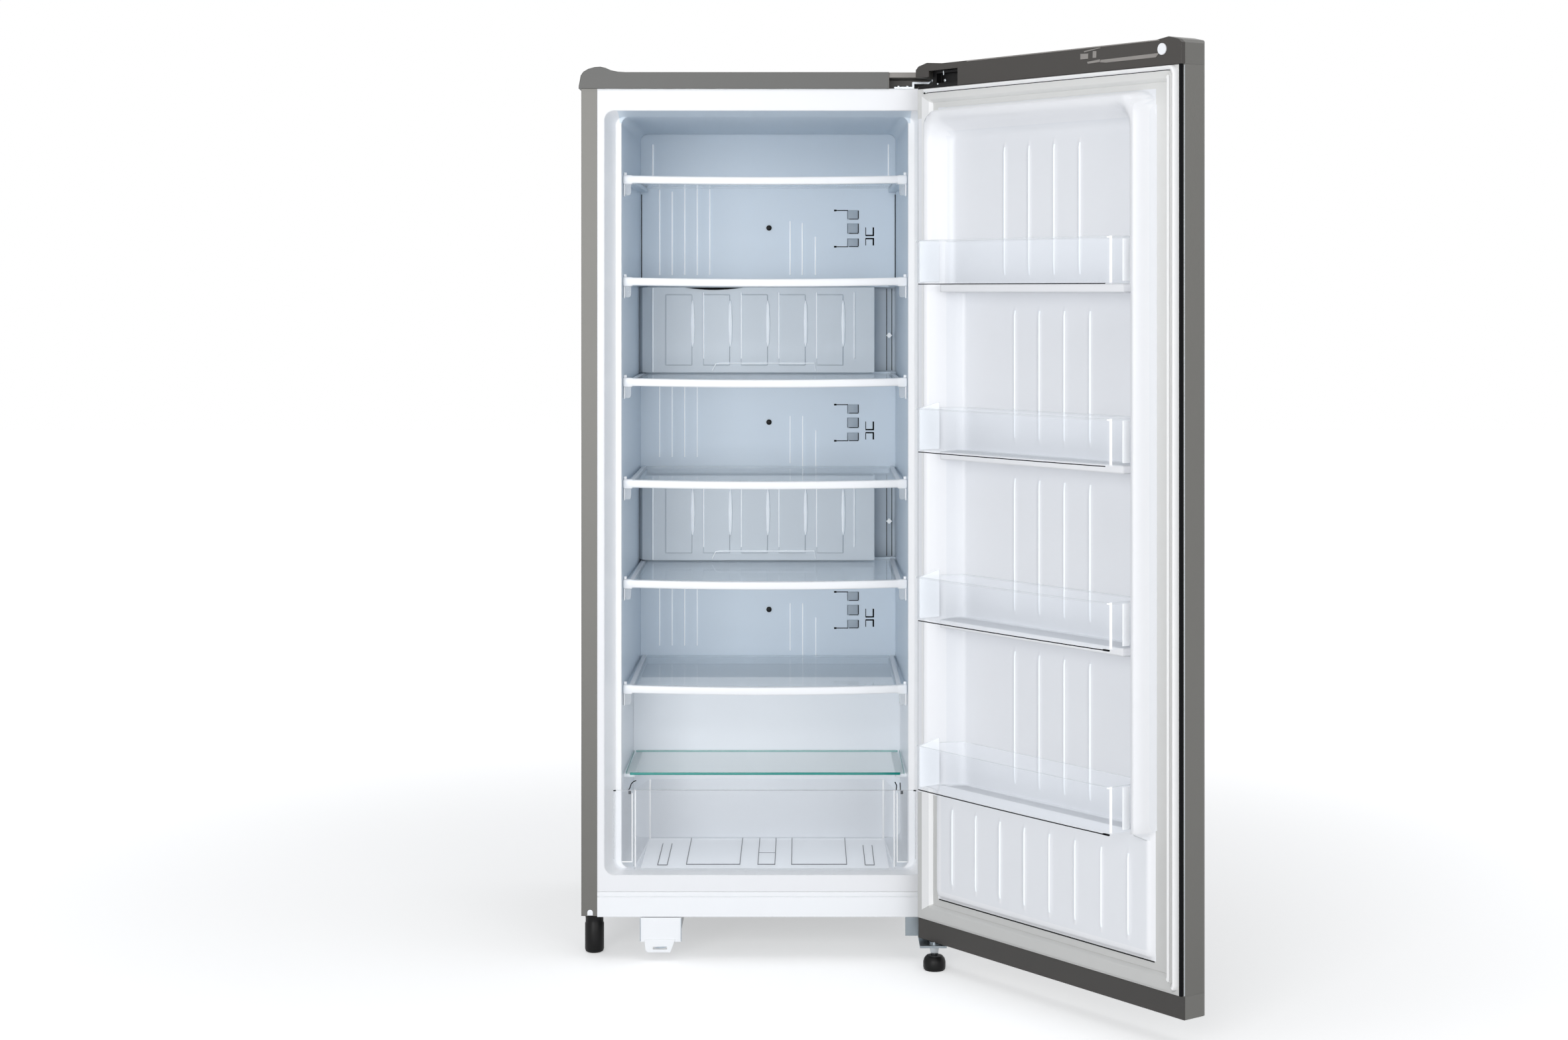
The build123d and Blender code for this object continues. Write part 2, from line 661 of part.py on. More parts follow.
for screw_z in panel_screw_zs:
    screw = barrel(panel_screw_x, screw_z, front + duct_depth, liner_back, panel_screw_radius)
    screw += barrel(panel_screw_x, screw_z, front + duct_depth - 1.8, front + duct_depth, panel_head_radius)
    panel_screws.append(screw)
keep("duct_screws", Compound(children=panel_screws))

fan_z = (cover_spans[0][0] + cover_spans[0][1]) / 2
fan_hub_front = front + cover_depth + duct_wall + 12
fan_hub_length = 14.0
fan_radius = 46.0
fan_blades = 5
shaft_radius = 2.5
fan_hub_radius = 12.0
motor_radius = 20.0
collar_length = 4.7
collar_rim = 3.0
blade_chord = 20.0
blade_thickness = 1.6
blade_pitch = 30.0             # degrees
blade_root = 9.0
motor_front = fan_hub_front + fan_hub_length + 5
motor = barrel(0, fan_z, motor_front, liner_back, motor_radius)
motor += barrel(0, fan_z, fan_hub_front + 3, motor_front, shaft_radius)
motor += barrel(0, fan_z, motor_front - collar_length, motor_front, shaft_radius + collar_rim)
keep("fan_motor", motor)
fan = barrel(0, 0, fan_hub_front, fan_hub_front + fan_hub_length, fan_hub_radius)
fan_middle = fan_hub_front + fan_hub_length / 2
for number in range(fan_blades):
    blade = Rot(0, 0, blade_pitch) * Box(blade_chord, blade_thickness, fan_radius - blade_root)
    blade = Pos(0, fan_middle, (fan_radius + blade_root) / 2) * blade
    fan += Rot(0, number * 360 / fan_blades, 0) * blade
fan -= barrel(0, 0, fan_hub_front + 2, fan_hub_front + fan_hub_length + 1, shaft_radius + running_fit)
keep("fan_blade", Pos(0, 0, fan_z) * fan)

fin_pitch = 14.0
fin_thickness = 1.0
fin_left_margin = 30.0
fin_right_margin = 50.0
fin_low_margin = 22.0
fin_high_margin = 18.0
coil_inset = 14.0
coil_back_inset = 18.0
coil_radius = 4.0
fin_left = fin_left_margin + duct_wall - cover_half_width
fin_right = cover_right - fin_right_margin
fin_count = int((fin_right - fin_left) / fin_pitch) + 1
fin_low = cover_spans[1][0] + fin_low_margin
fin_high = cover_spans[1][1] - fin_high_margin
fin_front = front + cover_depth + duct_wall + 6
fin_run = fin_pitch * (fin_count - 1)
evaporator = None
for number in range(fin_count):
    x = fin_left + number * fin_pitch
    fin = block(x, x + fin_thickness, fin_front, liner_back, fin_low, fin_high)
    evaporator = fin if evaporator is None else evaporator + fin
for level in (0.25, 0.75):
    z = fin_low + level * (fin_high - fin_low)
    for y in (fin_front + coil_inset, liner_back - coil_back_inset):
        tube = Pos(fin_left + fin_run / 2, y, z) * Rot(0, 90, 0)
        evaporator += tube * Cylinder(coil_radius, fin_run + 2 * coil_radius)
keep("evaporator", evaporator)

# ---------------------------------------------------------------- shelves
glass_half = shelf_half_width - glass_margin
shelf_back = front + duct_depth - 2


def outline(lines):
    """Face inside a closed chain of lines and arcs."""
    return make_face([edge for line in lines for edge in line.edges()])


def shelf_trim(top):
    """Bowed front bar of a shelf, dipping in its middle, with a block at each end."""
    y_end = front + shelf_front
    y_back = y_end + shelf_trim_thickness
    low = top - shelf_trim_height
    plan = outline([ThreePointArc((-trim_half, y_end), (0, y_end - shelf_bow), (trim_half, y_end)),
                    Polyline((trim_half, y_end), (trim_half, y_back), (-trim_half, y_back),
                             (-trim_half, y_end))])
    rise = outline([ThreePointArc((-trim_half, top), (0, top - shelf_sag), (trim_half, top)),
                    Line((trim_half, top), (trim_half, low)),
                    ThreePointArc((trim_half, low), (0, low - shelf_sag), (-trim_half, low)),
                    Line((-trim_half, low), (-trim_half, top))])
    place = Plane(origin=(0, y_back + 1, 0), x_dir=(1, 0, 0), z_dir=(0, -1, 0))
    length = shelf_trim_thickness + shelf_bow + 2
    height = shelf_trim_height + 2 * shelf_sag
    bar = extrude(Plane.XY.offset(low - shelf_sag) * plan, height) & extrude(place * rise, length)
    for side_sign in (-1, 1):
        x0, x1 = sorted((side_sign * trim_half, side_sign * (trim_half - trim_block_width)))
        bar += block(x0, x1, y_end - 1, y_back + trim_block_reach, low - 2, top)
    return bar


for number, (top, plate_top) in enumerate(zip(shelf_tops, shelf_plate_top), start=1):
    frame = shelf_trim(top)
    y0 = front + shelf_front + shelf_trim_thickness
    for side_sign in (-1, 1):
        x0, x1 = sorted((side_sign * glass_half, side_sign * shelf_half_width))
        frame += block(x0, x1, y0, shelf_back, plate_top - shelf_plate, plate_top)
    glass = block(-glass_half, glass_half, y0, shelf_back, plate_top - shelf_plate, plate_top)
    for side_sign in (-1, 1):
        x0, x1 = sorted((side_sign * trim_half, side_sign * (trim_half - trim_block_width)))
        glass -= block(x0, x1, y0 - 1, y0 + trim_block_reach, top - shelf_trim_height - 2, top)
    keep("shelf_frame_%d" % number, frame)
    keep("shelf_glass_%d" % number, glass)

glass_back = front + step_depth - 2
green_glass = plan_outline([(-glass_shelf_half_width - 2, front + shelf_front + 8),
                            (-glass_shelf_half_width + 6, front + shelf_front),
                            (glass_shelf_half_width - 6, front + shelf_front),
                            (glass_shelf_half_width + 2, front + shelf_front + 8),
                            (glass_shelf_half_width - 3, glass_back),
                            (-glass_shelf_half_width + 3, glass_back)],
                           glass_shelf_top - glass_shelf_thickness, glass_shelf_top)
keep("glass_shelf", green_glass)

# ---------------------------------------------------------------- drawer
drawer_bottom = sill_top + clearance
drawer_face = 4.0
drawer_y = front + drawer_front + drawer_face
drawer = extrude(standing_face(-drawer_half_width, drawer_half_width, drawer_bottom, drawer_rim,
                               drawer_y, corner_radius + 2), drawer_face)
drawer += extrude(standing_face(-drawer_body_half_width, drawer_body_half_width, drawer_bottom,
                                drawer_rim - 8, front + drawer_back, corner_radius),
                  drawer_back - drawer_front - drawer_face)
drawer -= block(-drawer_body_half_width + drawer_wall, drawer_body_half_width - drawer_wall,
                drawer_y, front + drawer_back - drawer_wall, drawer_bottom + drawer_wall + 3.5,
                drawer_rim)
keep("drawer", drawer)

# ---------------------------------------------------------------- door, drawn closed
door_open = Pos(hinge_x, hinge_y, 0) * Rot(0, 0, door_open_angle) * Pos(-hinge_x, -hinge_y, 0)


def keep_on_door(name, shape):
    """Name a finished door piece and turn it to the open place."""
    return keep(name, door_open * shape)


def door_block(q0, q1, h0, h1, z0, z1):
    """Box in the door's own places: q from the hinge edge, h inwards from the metal's inside."""
    return block(half_width - q1, half_width - q0, metal_plane + h0, metal_plane + h1, z0, z1)


def door_post(q, h, z0, z1, radius):
    """Upright cylinder in the door's own places."""
    return post(half_width - q, metal_plane + h, z0, z1, radius)


def door_face(q0, q1, z0, z1, h, radius):
    """Rounded rectangle that stands in a plane parallel to the door."""
    return standing_face(half_width - q1, half_width - q0, z0, z1, metal_plane + h, radius)


def door_core(inset, z0, z1, h1):
    """Prism of the door's plan with rounded outer edges, shrunk by an inset."""
    shape = door_block(inset, door_width - inset, -door_thickness + inset, h1, z0, z1)
    outer_edges = shape.edges().filter_by(Axis.Z).group_by(Axis.Y)[0]
    return fillet(outer_edges, door_edge_radius - inset)


metal = door_core(0, door_metal_bottom, door_metal_top, 0)
metal -= door_core(sheet, door_metal_bottom - 1, door_metal_top + 1, -sheet)
metal -= door_block(metal_return, door_width - metal_return, -2 * sheet, 1,
                    door_metal_bottom - 1, door_metal_top + 1)
keep_on_door("door_outer_panel", metal)

recess_bottom = basket_bottoms[-1] - clearance
recess_corner = 2.5
pad_bottom = basket_bottoms[0] + basket_height + basket_lift + 3
basket_middle = door_width / 2
form_root = 4.0                 # the raised forms start this far below the metal's plane
dyke_top_draft = 5.0
dyke_low_draft = 6.0
recess_draft = 12.0
dyke_bar = 24.0                 # height of the raised border's top bar
dyke_bar_low = 12.0
plateau_draft = 3.0
plateau_low_draft = 8.0
plateau_top = dyke_bottom + 30
pad_margin = 12.0               # side of the upper panel, outside the recess
ledge_margin = 8.0
recess_top = dyke_top - dyke_bar


def door_form(inset):
    """All that lies behind the door liner's face, shrunk by the liner's wall."""
    far = door_width - dyke_base_inset
    top_q = door_width - dyke_inset
    top_h = dyke_height - inset
    form = door_block(-10, door_width + 10, -door_thickness, door_flange - inset, 0, door_cap_top)
    form += loft([door_face(dyke_base_inset + inset, far - inset, dyke_bottom - dyke_low_draft + inset,
                            dyke_top + dyke_top_draft - inset, -form_root, dyke_corner),
                  door_face(dyke_inset + inset, top_q - inset, dyke_bottom + inset,
                            dyke_top - inset, top_h, dyke_corner - 4)])
    form += loft([door_face(dyke_base_inset + inset, far - inset, plateau_bottom + inset,
                            plateau_top, -form_root, corner_radius),
                  door_face(dyke_base_inset + plateau_draft + inset, far - plateau_draft - inset,
                            plateau_bottom + plateau_low_draft + inset, plateau_top,
                            plateau_height - inset, corner_radius)])
    form -= loft([door_face(dyke_inner_top - inset, door_width - dyke_inner_top + inset,
                            recess_bottom - inset, recess_top + inset, dyke_height + 1, recess_corner),
                  door_face(dyke_inner_base - inset, door_width - dyke_inner_base + inset,
                            recess_bottom - inset, recess_top - recess_draft + inset,
                            panel_recess - inset, recess_corner)])
    form -= door_block(dyke_inner_top - inset, door_width - dyke_inner_top + inset,
                       plateau_height - inset, dyke_height + 1, dyke_bottom - dyke_bar_low,
                       recess_bottom + 10)
    pad_side = dyke_inner_base - pad_margin
    form += door_block(pad_side, door_width - pad_side, panel_recess - inset - 1,
                       upper_panel - inset, pad_bottom + inset, recess_top)
    ledge_side = dyke_inner_base - ledge_margin + inset
    for bottom in basket_bottoms[:-1]:
        seat = bottom - clearance
        form += door_block(ledge_side, door_width - ledge_side, panel_recess - inset - 1,
                           ledge_reach - inset, seat - ledge_height + inset, seat - inset)
    return form


flange_frame = door_block(flange_inset, door_width - flange_inset, panel_recess - 2 * door_liner_wall,
                          dyke_height + 1, door_metal_bottom + 2, door_metal_top - 4)
behind = door_form(door_liner_wall)
door_liner = (door_form(0) - behind) & flange_frame
rib_count = 8
rib_margin = dyke_inner_base + 4.2
rib_half = 3.0
rib_height = 2.0
rib_low_margin = 22.0
rib_high_margin = 14.0
basket_rib_pitch = 50.0
rib_pitch = (door_width - 2 * rib_margin) / (rib_count - 1)
rib_qs = [rib_margin + rib_pitch * number for number in range(rib_count)]
for q in rib_qs:
    door_liner += door_block(q - rib_half, q + rib_half, plateau_height - 1, plateau_height + rib_height,
                             plateau_bottom + rib_low_margin, dyke_bottom - rib_high_margin)
for low, high in zip(basket_bottoms[1:], basket_bottoms[:-1]):
    for step in (-1.5, -0.5, 0.5, 1.5):
        q = basket_middle + step * basket_rib_pitch
        door_liner += door_block(q - rib_half, q + rib_half, panel_recess - 1, panel_recess + rib_height,
                                 low - 1, high - ledge_height - 1)
keep_on_door("door_liner", door_liner)

bush_radius = pin_radius + running_fit + bush_wall
insert_top = door_metal_top + door_metal_drop
bush_bottom = insert_top - bush_length
door_foam = door_core(sheet, door_metal_bottom, door_metal_top, -sheet)
door_foam += door_block(metal_return, door_width - metal_return, -2 * sheet, dyke_height + 1,
                        door_metal_bottom + 2, door_metal_top - 4)
door_foam = door_foam & behind
door_foam -= door_post(hinge_inset_x, -hinge_inset_y, bush_bottom - 1, door_metal_top + 1, bush_radius)
keep_on_door("door_foam", door_foam)

gasket = door_block(gasket_hinge_inset, door_width - gasket_inset, door_flange,
                    door_flange + gasket_height, gasket_bottom, gasket_top)
gasket -= door_block(gasket_hinge_inset + gasket_width, door_width - gasket_inset - gasket_width,
                     door_flange - 1, door_flange + gasket_height + 1,
                     gasket_bottom + gasket_width, gasket_top - gasket_width)
keep_on_door("door_gasket", gasket)

# ---------------------------------------------------------------- door caps
cap_corner_drop = 6.0
cap_crest_drop = 1.2            # from the flat top down to the start of a crest
hinge_crest = 25.0              # crests, from each edge of the door
hinge_crest_end = 58.0
handle_crest = 23.0
handle_crest_end = 45.0
cap_corner = 6.0
cap_top_points = [(0, door_cap_top - cap_corner_drop), (cap_corner, door_cap_top - cap_crest_drop),
                  (hinge_crest, door_cap_top + door_crest), (hinge_crest_end, door_cap_top),
                  (door_width - handle_crest_end, door_cap_top),
                  (door_width - handle_crest, door_cap_top + door_crest),
                  (door_width - cap_corner, door_cap_top - cap_crest_drop),
                  (door_width, door_cap_top - cap_corner_drop)]
cap_outline = [(half_width - q, z) for q, z in cap_top_points]
cap_outline += [(half_width - door_width, door_metal_top), (half_width, door_metal_top)]
top_cap = door_core(0, door_metal_top, door_cap_top + 10, cap_lip)
top_cap = top_cap & profile_along_depth(cap_outline, hinge_y - 60, front + 20)
top_cap -= door_core(cap_wall, door_metal_top - 1, door_cap_top - 2 * cap_wall, cap_lip - cap_wall)
pocket_top = top_arm_top + 2
pocket_end = hinge_inset_x + arm_half + 2
insert_end = 92.0
insert_high = door_cap_top - 9
window_margin = 8.0
window_depth = 12.0
window_low = 3.0
window_high = 4.0
top_cap -= door_block(-5, pocket_end, -door_thickness - 5, cap_lip + 5, insert_top, pocket_top)
top_cap -= door_block(-5, insert_end, cap_lip - cap_wall - 1, cap_lip + 5, door_metal_top - 1, pocket_top)
top_cap -= door_block(pocket_end, insert_end, cap_lip - cap_wall - 1, cap_lip + 5, pocket_top - 1,
                      insert_high)
plug_x = half_width - door_width + 34
plug_z = door_cap_top - 12.6
plug_radius = 7.5
plug_stem_radius = 6.0
plug_rise = 1.6
plug_front = metal_plane + cap_lip
top_cap -= barrel(plug_x, plug_z, plug_front - cap_wall - 1, plug_front + 1, plug_stem_radius)
keep_on_door("door_top_cap", top_cap)
plug = barrel(plug_x, plug_z, plug_front - cap_wall - 1, plug_front, plug_stem_radius)
plug += barrel(plug_x, plug_z, plug_front, plug_front + plug_rise, plug_radius)
keep_on_door("cap_plug", plug)

insert = door_block(cap_wall, insert_end, -door_thickness + cap_wall, cap_lip - cap_wall,
                    door_metal_top, insert_top)
insert = fillet(insert.edges().filter_by(Axis.Z).group_by(Axis.Y)[0].sort_by(Axis.X)[-1],
                door_edge_radius - cap_wall)
insert += door_block(pocket_end, insert_end, -door_thickness + cap_wall, -3, insert_top, insert_high)
insert -= door_block(pocket_end + window_margin, insert_end - window_margin, -window_depth, 0,
                     insert_top + window_low, insert_high - window_high)
insert -= door_post(hinge_inset_x, -hinge_inset_y, door_metal_top - 1, insert_top + 1, bush_radius)
keep_on_door("hinge_insert", insert)

bottom_cap = door_core(0, door_bottom, door_metal_bottom, 0)
bottom_cap -= door_core(cap_wall, door_bottom + cap_wall, door_metal_bottom + 1, -cap_wall)
boss_radius = 10.0
boss_roof = 4.0
bottom_cap += door_post(hinge_inset_x, -hinge_inset_y, door_bottom, door_bottom + bush_length + boss_roof,
                        boss_radius)
bottom_cap -= door_post(hinge_inset_x, -hinge_inset_y, door_bottom - 1, door_bottom + bush_length,
                        bush_radius)
keep_on_door("door_bottom_cap", bottom_cap)

bush_bore = pin_radius + running_fit
bushes = []
for low in (bush_bottom, door_bottom):
    bush = door_post(hinge_inset_x, -hinge_inset_y, low, low + bush_length, bush_radius)
    bush -= door_post(hinge_inset_x, -hinge_inset_y, low - 1, low + bush_length + 1, bush_bore)
    bushes.append(bush)
keep_on_door("hinge_bushes", Compound(children=bushes))

# ---------------------------------------------------------------- door baskets
basket_far = door_width - basket_inset
basket_side_end = 16.0
basket_taper = 14.0
basket_wall_slant = 0.6         # share of the wall by which the tapered corner moves inside


def basket_face(inset):
    """Plan of a basket: bowed front, straight ends and a tapered back, shrunk by an inset."""
    def spot(q, h):
        return (half_width - q, metal_plane + h)
    q0 = basket_inset + inset
    q1 = basket_far - inset
    side_h = basket_front_height - inset
    back_h = basket_back + inset
    taper = basket_taper + inset * basket_wall_slant
    return outline([ThreePointArc(spot(q0, side_h), spot(basket_middle, side_h + basket_bow),
                                  spot(q1, side_h)),
                    Polyline(spot(q1, side_h), spot(q1, basket_side_end),
                             spot(q1 - taper, back_h), spot(q0 + taper, back_h),
                             spot(q0, basket_side_end), spot(q0, side_h))])


for number, bottom in enumerate(basket_bottoms, start=1):
    basket = extrude(Plane.XY.offset(bottom) * basket_face(0), basket_height)
    basket -= extrude(Plane.XY.offset(bottom + basket_wall) * basket_face(basket_wall), basket_height)
    keep_on_door("door_basket_%d" % number, basket)

# ---------------------------------------------------------------- files
fixings = [pieces.pop("hinge_screws"), pieces.pop("duct_screws")]
pieces["screws"] = Compound(children=[solid for group in fixings for solid in group.solids()])
pins = [pieces.pop("top_hinge_pin"), pieces.pop("lower_hinge_pin")]
pieces["hinge_pins"] = Compound(children=[solid for group in pins for solid in group.solids()])

for name, shape in pieces.items():
    export_step(shape, "parts/%s.step" % name)
print(len(pieces), "pieces")
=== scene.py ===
"""Upright freezer, door open: finishes and fine pieces over the fixed frame.

Lengths in the making are millimetres in the frame's axes: +X right, +Y away, +Z up.
"""

import json
import math

import bmesh
import bpy
from bpy.props import FloatProperty, FloatVectorProperty, PointerProperty
from mathutils import Matrix, Vector


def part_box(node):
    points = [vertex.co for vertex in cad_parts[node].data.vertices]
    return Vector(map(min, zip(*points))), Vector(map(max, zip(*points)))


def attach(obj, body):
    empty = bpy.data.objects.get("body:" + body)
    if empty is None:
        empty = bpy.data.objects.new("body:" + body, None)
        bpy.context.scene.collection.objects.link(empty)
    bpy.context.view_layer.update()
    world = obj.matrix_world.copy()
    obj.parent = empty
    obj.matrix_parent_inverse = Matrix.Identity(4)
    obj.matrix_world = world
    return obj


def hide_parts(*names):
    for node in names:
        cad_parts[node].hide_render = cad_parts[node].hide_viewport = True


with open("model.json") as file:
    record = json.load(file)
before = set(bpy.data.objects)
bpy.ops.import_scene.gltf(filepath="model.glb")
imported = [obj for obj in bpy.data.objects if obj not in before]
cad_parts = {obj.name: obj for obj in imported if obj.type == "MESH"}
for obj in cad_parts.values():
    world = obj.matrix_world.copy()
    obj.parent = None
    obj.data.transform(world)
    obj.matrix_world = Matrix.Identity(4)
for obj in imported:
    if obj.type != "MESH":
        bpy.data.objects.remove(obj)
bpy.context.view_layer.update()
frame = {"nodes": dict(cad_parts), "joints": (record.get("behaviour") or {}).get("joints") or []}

bl_info = {
    "name": "Upright freezer",
    "version": (1, 0, 0),
    "blender": (4, 5, 0),
    "location": "View3D > Sidebar > Freezer",
    "description": "Dresses the frame of an upright freezer with its finishes and fine pieces",
    "category": "Object",
}

MM = 0.001


def hex_linear(text):
    """Linear colour of an sRGB hex value such as '#8A8984'."""
    values = [int(text[place:place + 2], 16) / 255 for place in (1, 3, 5)]
    return [v / 12.92 if v <= 0.04045 else ((v + 0.055) / 1.055) ** 2.4 for v in values]


def span(node):
    """Lowest and highest corner of a frame node, in millimetres."""
    low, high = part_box(node)
    return Vector(low) / MM, Vector(high) / MM


def about(middle, half):
    """The two places that lie half to either side of a middle."""
    return middle - half, middle + half


# ---------------------------------------------------------------- places read from the frame
SHELL_LOW, SHELL_HIGH = span("side_panel_left")
HALF = -SHELL_LOW.x
FRONT = SHELL_LOW.y
SHELL_TOP = SHELL_HIGH.z
STEP_Z = span("duct_panel_lower")[0].z
REVEAL_WIDTH = 52.0         # from the shell's side to the chamber's side wall
REVEAL_DEPTH = 44.0         # how deep the liner stays white behind its band
CEILING_DROP = 47.0         # from the shell's top to just under the chamber's ceiling
DOOR_JOINT = next(joint for joint in frame["joints"] if joint["name"] == "door_hinge")
HINGE = Vector(DOOR_JOINT["pos_m"]) / MM
OPEN_ANGLE = -math.radians(DOOR_JOINT["range_deg"][0])
METAL_PLANE = HINGE.y + 21.5        # inside of the door's metal, with the door closed
DOOR_WIDTH = 2 * HALF
DOOR_PLACE = (Matrix.Translation((HINGE.x, HINGE.y, 0)) @ Matrix.Rotation(OPEN_ANGLE, 4, "Z")
              @ Matrix.Translation((-HINGE.x, -HINGE.y, 0)))


# ---------------------------------------------------------------- sizes and colours to change
class FreezerSizes(bpy.types.PropertyGroup):
    trim_rounding: FloatProperty(name="Trim rounding", unit="LENGTH", default=2.4 * MM,
                                 description="Radius along the edges of the shelf trims")
    shelf_bow: FloatProperty(name="Shelf bow", unit="LENGTH", default=8.0 * MM,
                             description="How far the middle of a trim comes forward")
    shelf_sag: FloatProperty(name="Shelf sag", unit="LENGTH", default=2.5 * MM,
                             description="How far the top of a trim dips at its middle")
    basket_wall: FloatProperty(name="Basket wall", unit="LENGTH", default=2.2 * MM,
                               description="Thickness of the clear baskets and of the drawer")
    lamp_level: FloatProperty(name="Lamp level", default=1.0, min=0.0,
                              description="Share of the studio lamps' plain level")


class FreezerColours(bpy.types.PropertyGroup):
    shell: FloatVectorProperty(name="Shell", subtype="COLOR", default=hex_linear("#6C6B67"),
                               description="Paint of the side panels and of the door")
    cover: FloatVectorProperty(name="Top cover", subtype="COLOR", default=hex_linear("#5C5C5A"),
                               description="Plastic of the top cover")
    caps: FloatVectorProperty(name="Door caps", subtype="COLOR", default=hex_linear("#363330"),
                              description="Plastic of the door's end caps")
    liner: FloatVectorProperty(name="Liner", subtype="COLOR", default=hex_linear("#EFF0F3"),
                               description="White plastic of the liners")
    # Painted shade: the cooler tone that the liner and duct panels take deep in the chamber.
    chamber: FloatVectorProperty(name="Chamber", subtype="COLOR", default=hex_linear("#DEEAF5"),
                                 description="Cool tone of the liner deep in the chamber")
    # Painted shade: a greyer copy of the white liner for the door's flat flange and the flat seal.
    flange: FloatVectorProperty(name="Door flange", subtype="COLOR", default=hex_linear("#D3D3D1"),
                                description="Duller plastic of the door liner's flat flange")
    # Painted shade: a cooler, greyer copy of the liner for the door's recessed panels.
    panel: FloatVectorProperty(name="Door panels", subtype="COLOR", default=hex_linear("#E9EBEF"),
                               description="Thinly drawn plastic of the door liner's flat panels")
    glass_edge: FloatVectorProperty(name="Glass edge", subtype="COLOR", default=hex_linear("#1E8C84"),
                                    description="Green seen through the edge of the glass shelf")


def sizes():
    """The sizes set in the sidebar."""
    return bpy.context.scene.freezer_sizes


def colours():
    """The colours set in the sidebar."""
    return bpy.context.scene.freezer_colours


# ---------------------------------------------------------------- material making
def add_node(tree, kind, settings=None, links=None):
    """Add one node; settings name its attributes or input sockets, links name input sockets."""
    node = tree.nodes.new(kind)
    for key, value in (settings or {}).items():
        if isinstance(key, str) and hasattr(node, key):
            setattr(node, key, value)
        else:
            node.inputs[key].default_value = value
    for key, source in (links or {}).items():
        tree.links.new(source, node.inputs[key])
    return node


def rgba(colour):
    """A colour with its fourth value, as the mixing nodes take it."""
    return (*tuple(colour)[:3], 1.0)


def scale_of(length_mm):
    """Noise scale in metre coordinates for a feature of that length."""
    return 1 / (length_mm * MM)


def surface(name, colour, roughness, edge_mm=0.8, spread=0.04, spread_mm=90.0,
            grain_mm=1.6, grain_height_mm=0.012, painted_light_grade=0.0, **sockets):
    """Principled surface with slight colour variation, a fine grain and softened edges.

    colour is a linear colour or an sRGB hex value. grade is the share of painted shade and light by height:
    the tone is darker at the floor and paler at the top than at half height.
    """
    material = bpy.data.materials.new(name)
    material.use_nodes = True
    tree = material.node_tree
    shader = tree.nodes["Principled BSDF"]
    shader.inputs["Roughness"].default_value = roughness
    for socket, value in sockets.items():
        shader.inputs[socket.replace("_", " ")].default_value = value
    place = add_node(tree, "ShaderNodeTexCoord").outputs["Object"]
    cloud = add_node(tree, "ShaderNodeTexNoise", {"Scale": scale_of(spread_mm), "Detail": 3.0},
                     {"Vector": place})
    tone = add_node(tree, "ShaderNodeMapRange", {"To Min": 1 - spread, "To Max": 1 + spread},
                    {"Value": cloud.outputs["Fac"]})
    share = tone.outputs["Result"]
    # Painted shade towards the floor and painted light towards the top.
    if painted_light_grade:
        axes = add_node(tree, "ShaderNodeSeparateXYZ", links={"Vector": place})
        ramp = add_node(tree, "ShaderNodeMapRange", {"From Max": SHELL_TOP * MM, "To Min": 1 - painted_light_grade,
                                                     "To Max": 1 + painted_light_grade}, {"Value": axes.outputs["Z"]})
        share = add_node(tree, "ShaderNodeMath", {"operation": "MULTIPLY"},
                         {0: share, 1: ramp.outputs["Result"]}).outputs["Value"]
    paint = hex_linear(colour) if isinstance(colour, str) else tuple(colour)[:3]
    tint = add_node(tree, "ShaderNodeVectorMath", {"operation": "SCALE", 0: paint}, {"Scale": share})
    tree.links.new(tint.outputs["Vector"], shader.inputs["Base Color"])
    grain = add_node(tree, "ShaderNodeTexNoise", {"Scale": scale_of(grain_mm), "Detail": 2.0},
                     {"Vector": place})
    soft = add_node(tree, "ShaderNodeBevel", {"samples": 4, "Radius": edge_mm * MM})
    bump = add_node(tree, "ShaderNodeBump", {"Strength": 1.0, "Distance": grain_height_mm * MM},
                    {"Height": grain.outputs["Fac"], "Normal": soft.outputs["Normal"]})
    tree.links.new(bump.outputs["Normal"], shader.inputs["Normal"])
    return material, tree, shader, tint.outputs["Vector"], place


def painted_steel():
    """Roll-coated sheet steel: a satin paint with a faint orange peel that breaks up reflections."""
    # Painted shade towards the floor and painted light towards the top.
    return surface("painted_sheet_steel", colours().shell, 0.42, edge_mm=1.0, spread=0.02,
                   grain_mm=1.8, grain_height_mm=0.01, painted_light_grade=0.1, Metallic=0.2, Coat_Weight=0.1,
                   Coat_Roughness=0.25)[0]


def galvanised_steel():
    """Hot-dip galvanised sheet: dull metal with pale and dark spangle."""
    material, tree, shader, tint, place = surface(
        "galvanised_sheet_steel", "#A9ACAE", 0.42, edge_mm=0.6, Metallic=1.0)
    spangle = add_node(tree, "ShaderNodeTexVoronoi", {"Scale": scale_of(9.0)}, {"Vector": place})
    rough = add_node(tree, "ShaderNodeMapRange", {"To Min": 0.3, "To Max": 0.55},
                     {"Value": spangle.outputs["Distance"]})
    tree.links.new(rough.outputs["Result"], shader.inputs["Roughness"])
    return material


def zinc_plated_steel():
    """Bright zinc plate on pressed steel: hinge brackets and screws that catch the light."""
    return surface("zinc_plated_steel", "#B4B9BD", 0.26, edge_mm=0.5, spread=0.08,
                   spread_mm=14.0, grain_mm=0.7, grain_height_mm=0.006, Metallic=1.0)[0]


def dull_dark_zinc_steel():
    """Zinc-coloured thick pressed steel, duller and darker than bright plate."""
    return surface("dull_dark_zinc_plated_steel", "#8C949A", 0.34, edge_mm=0.6, spread=0.06,
                   spread_mm=20.0, Metallic=1.0)[0]


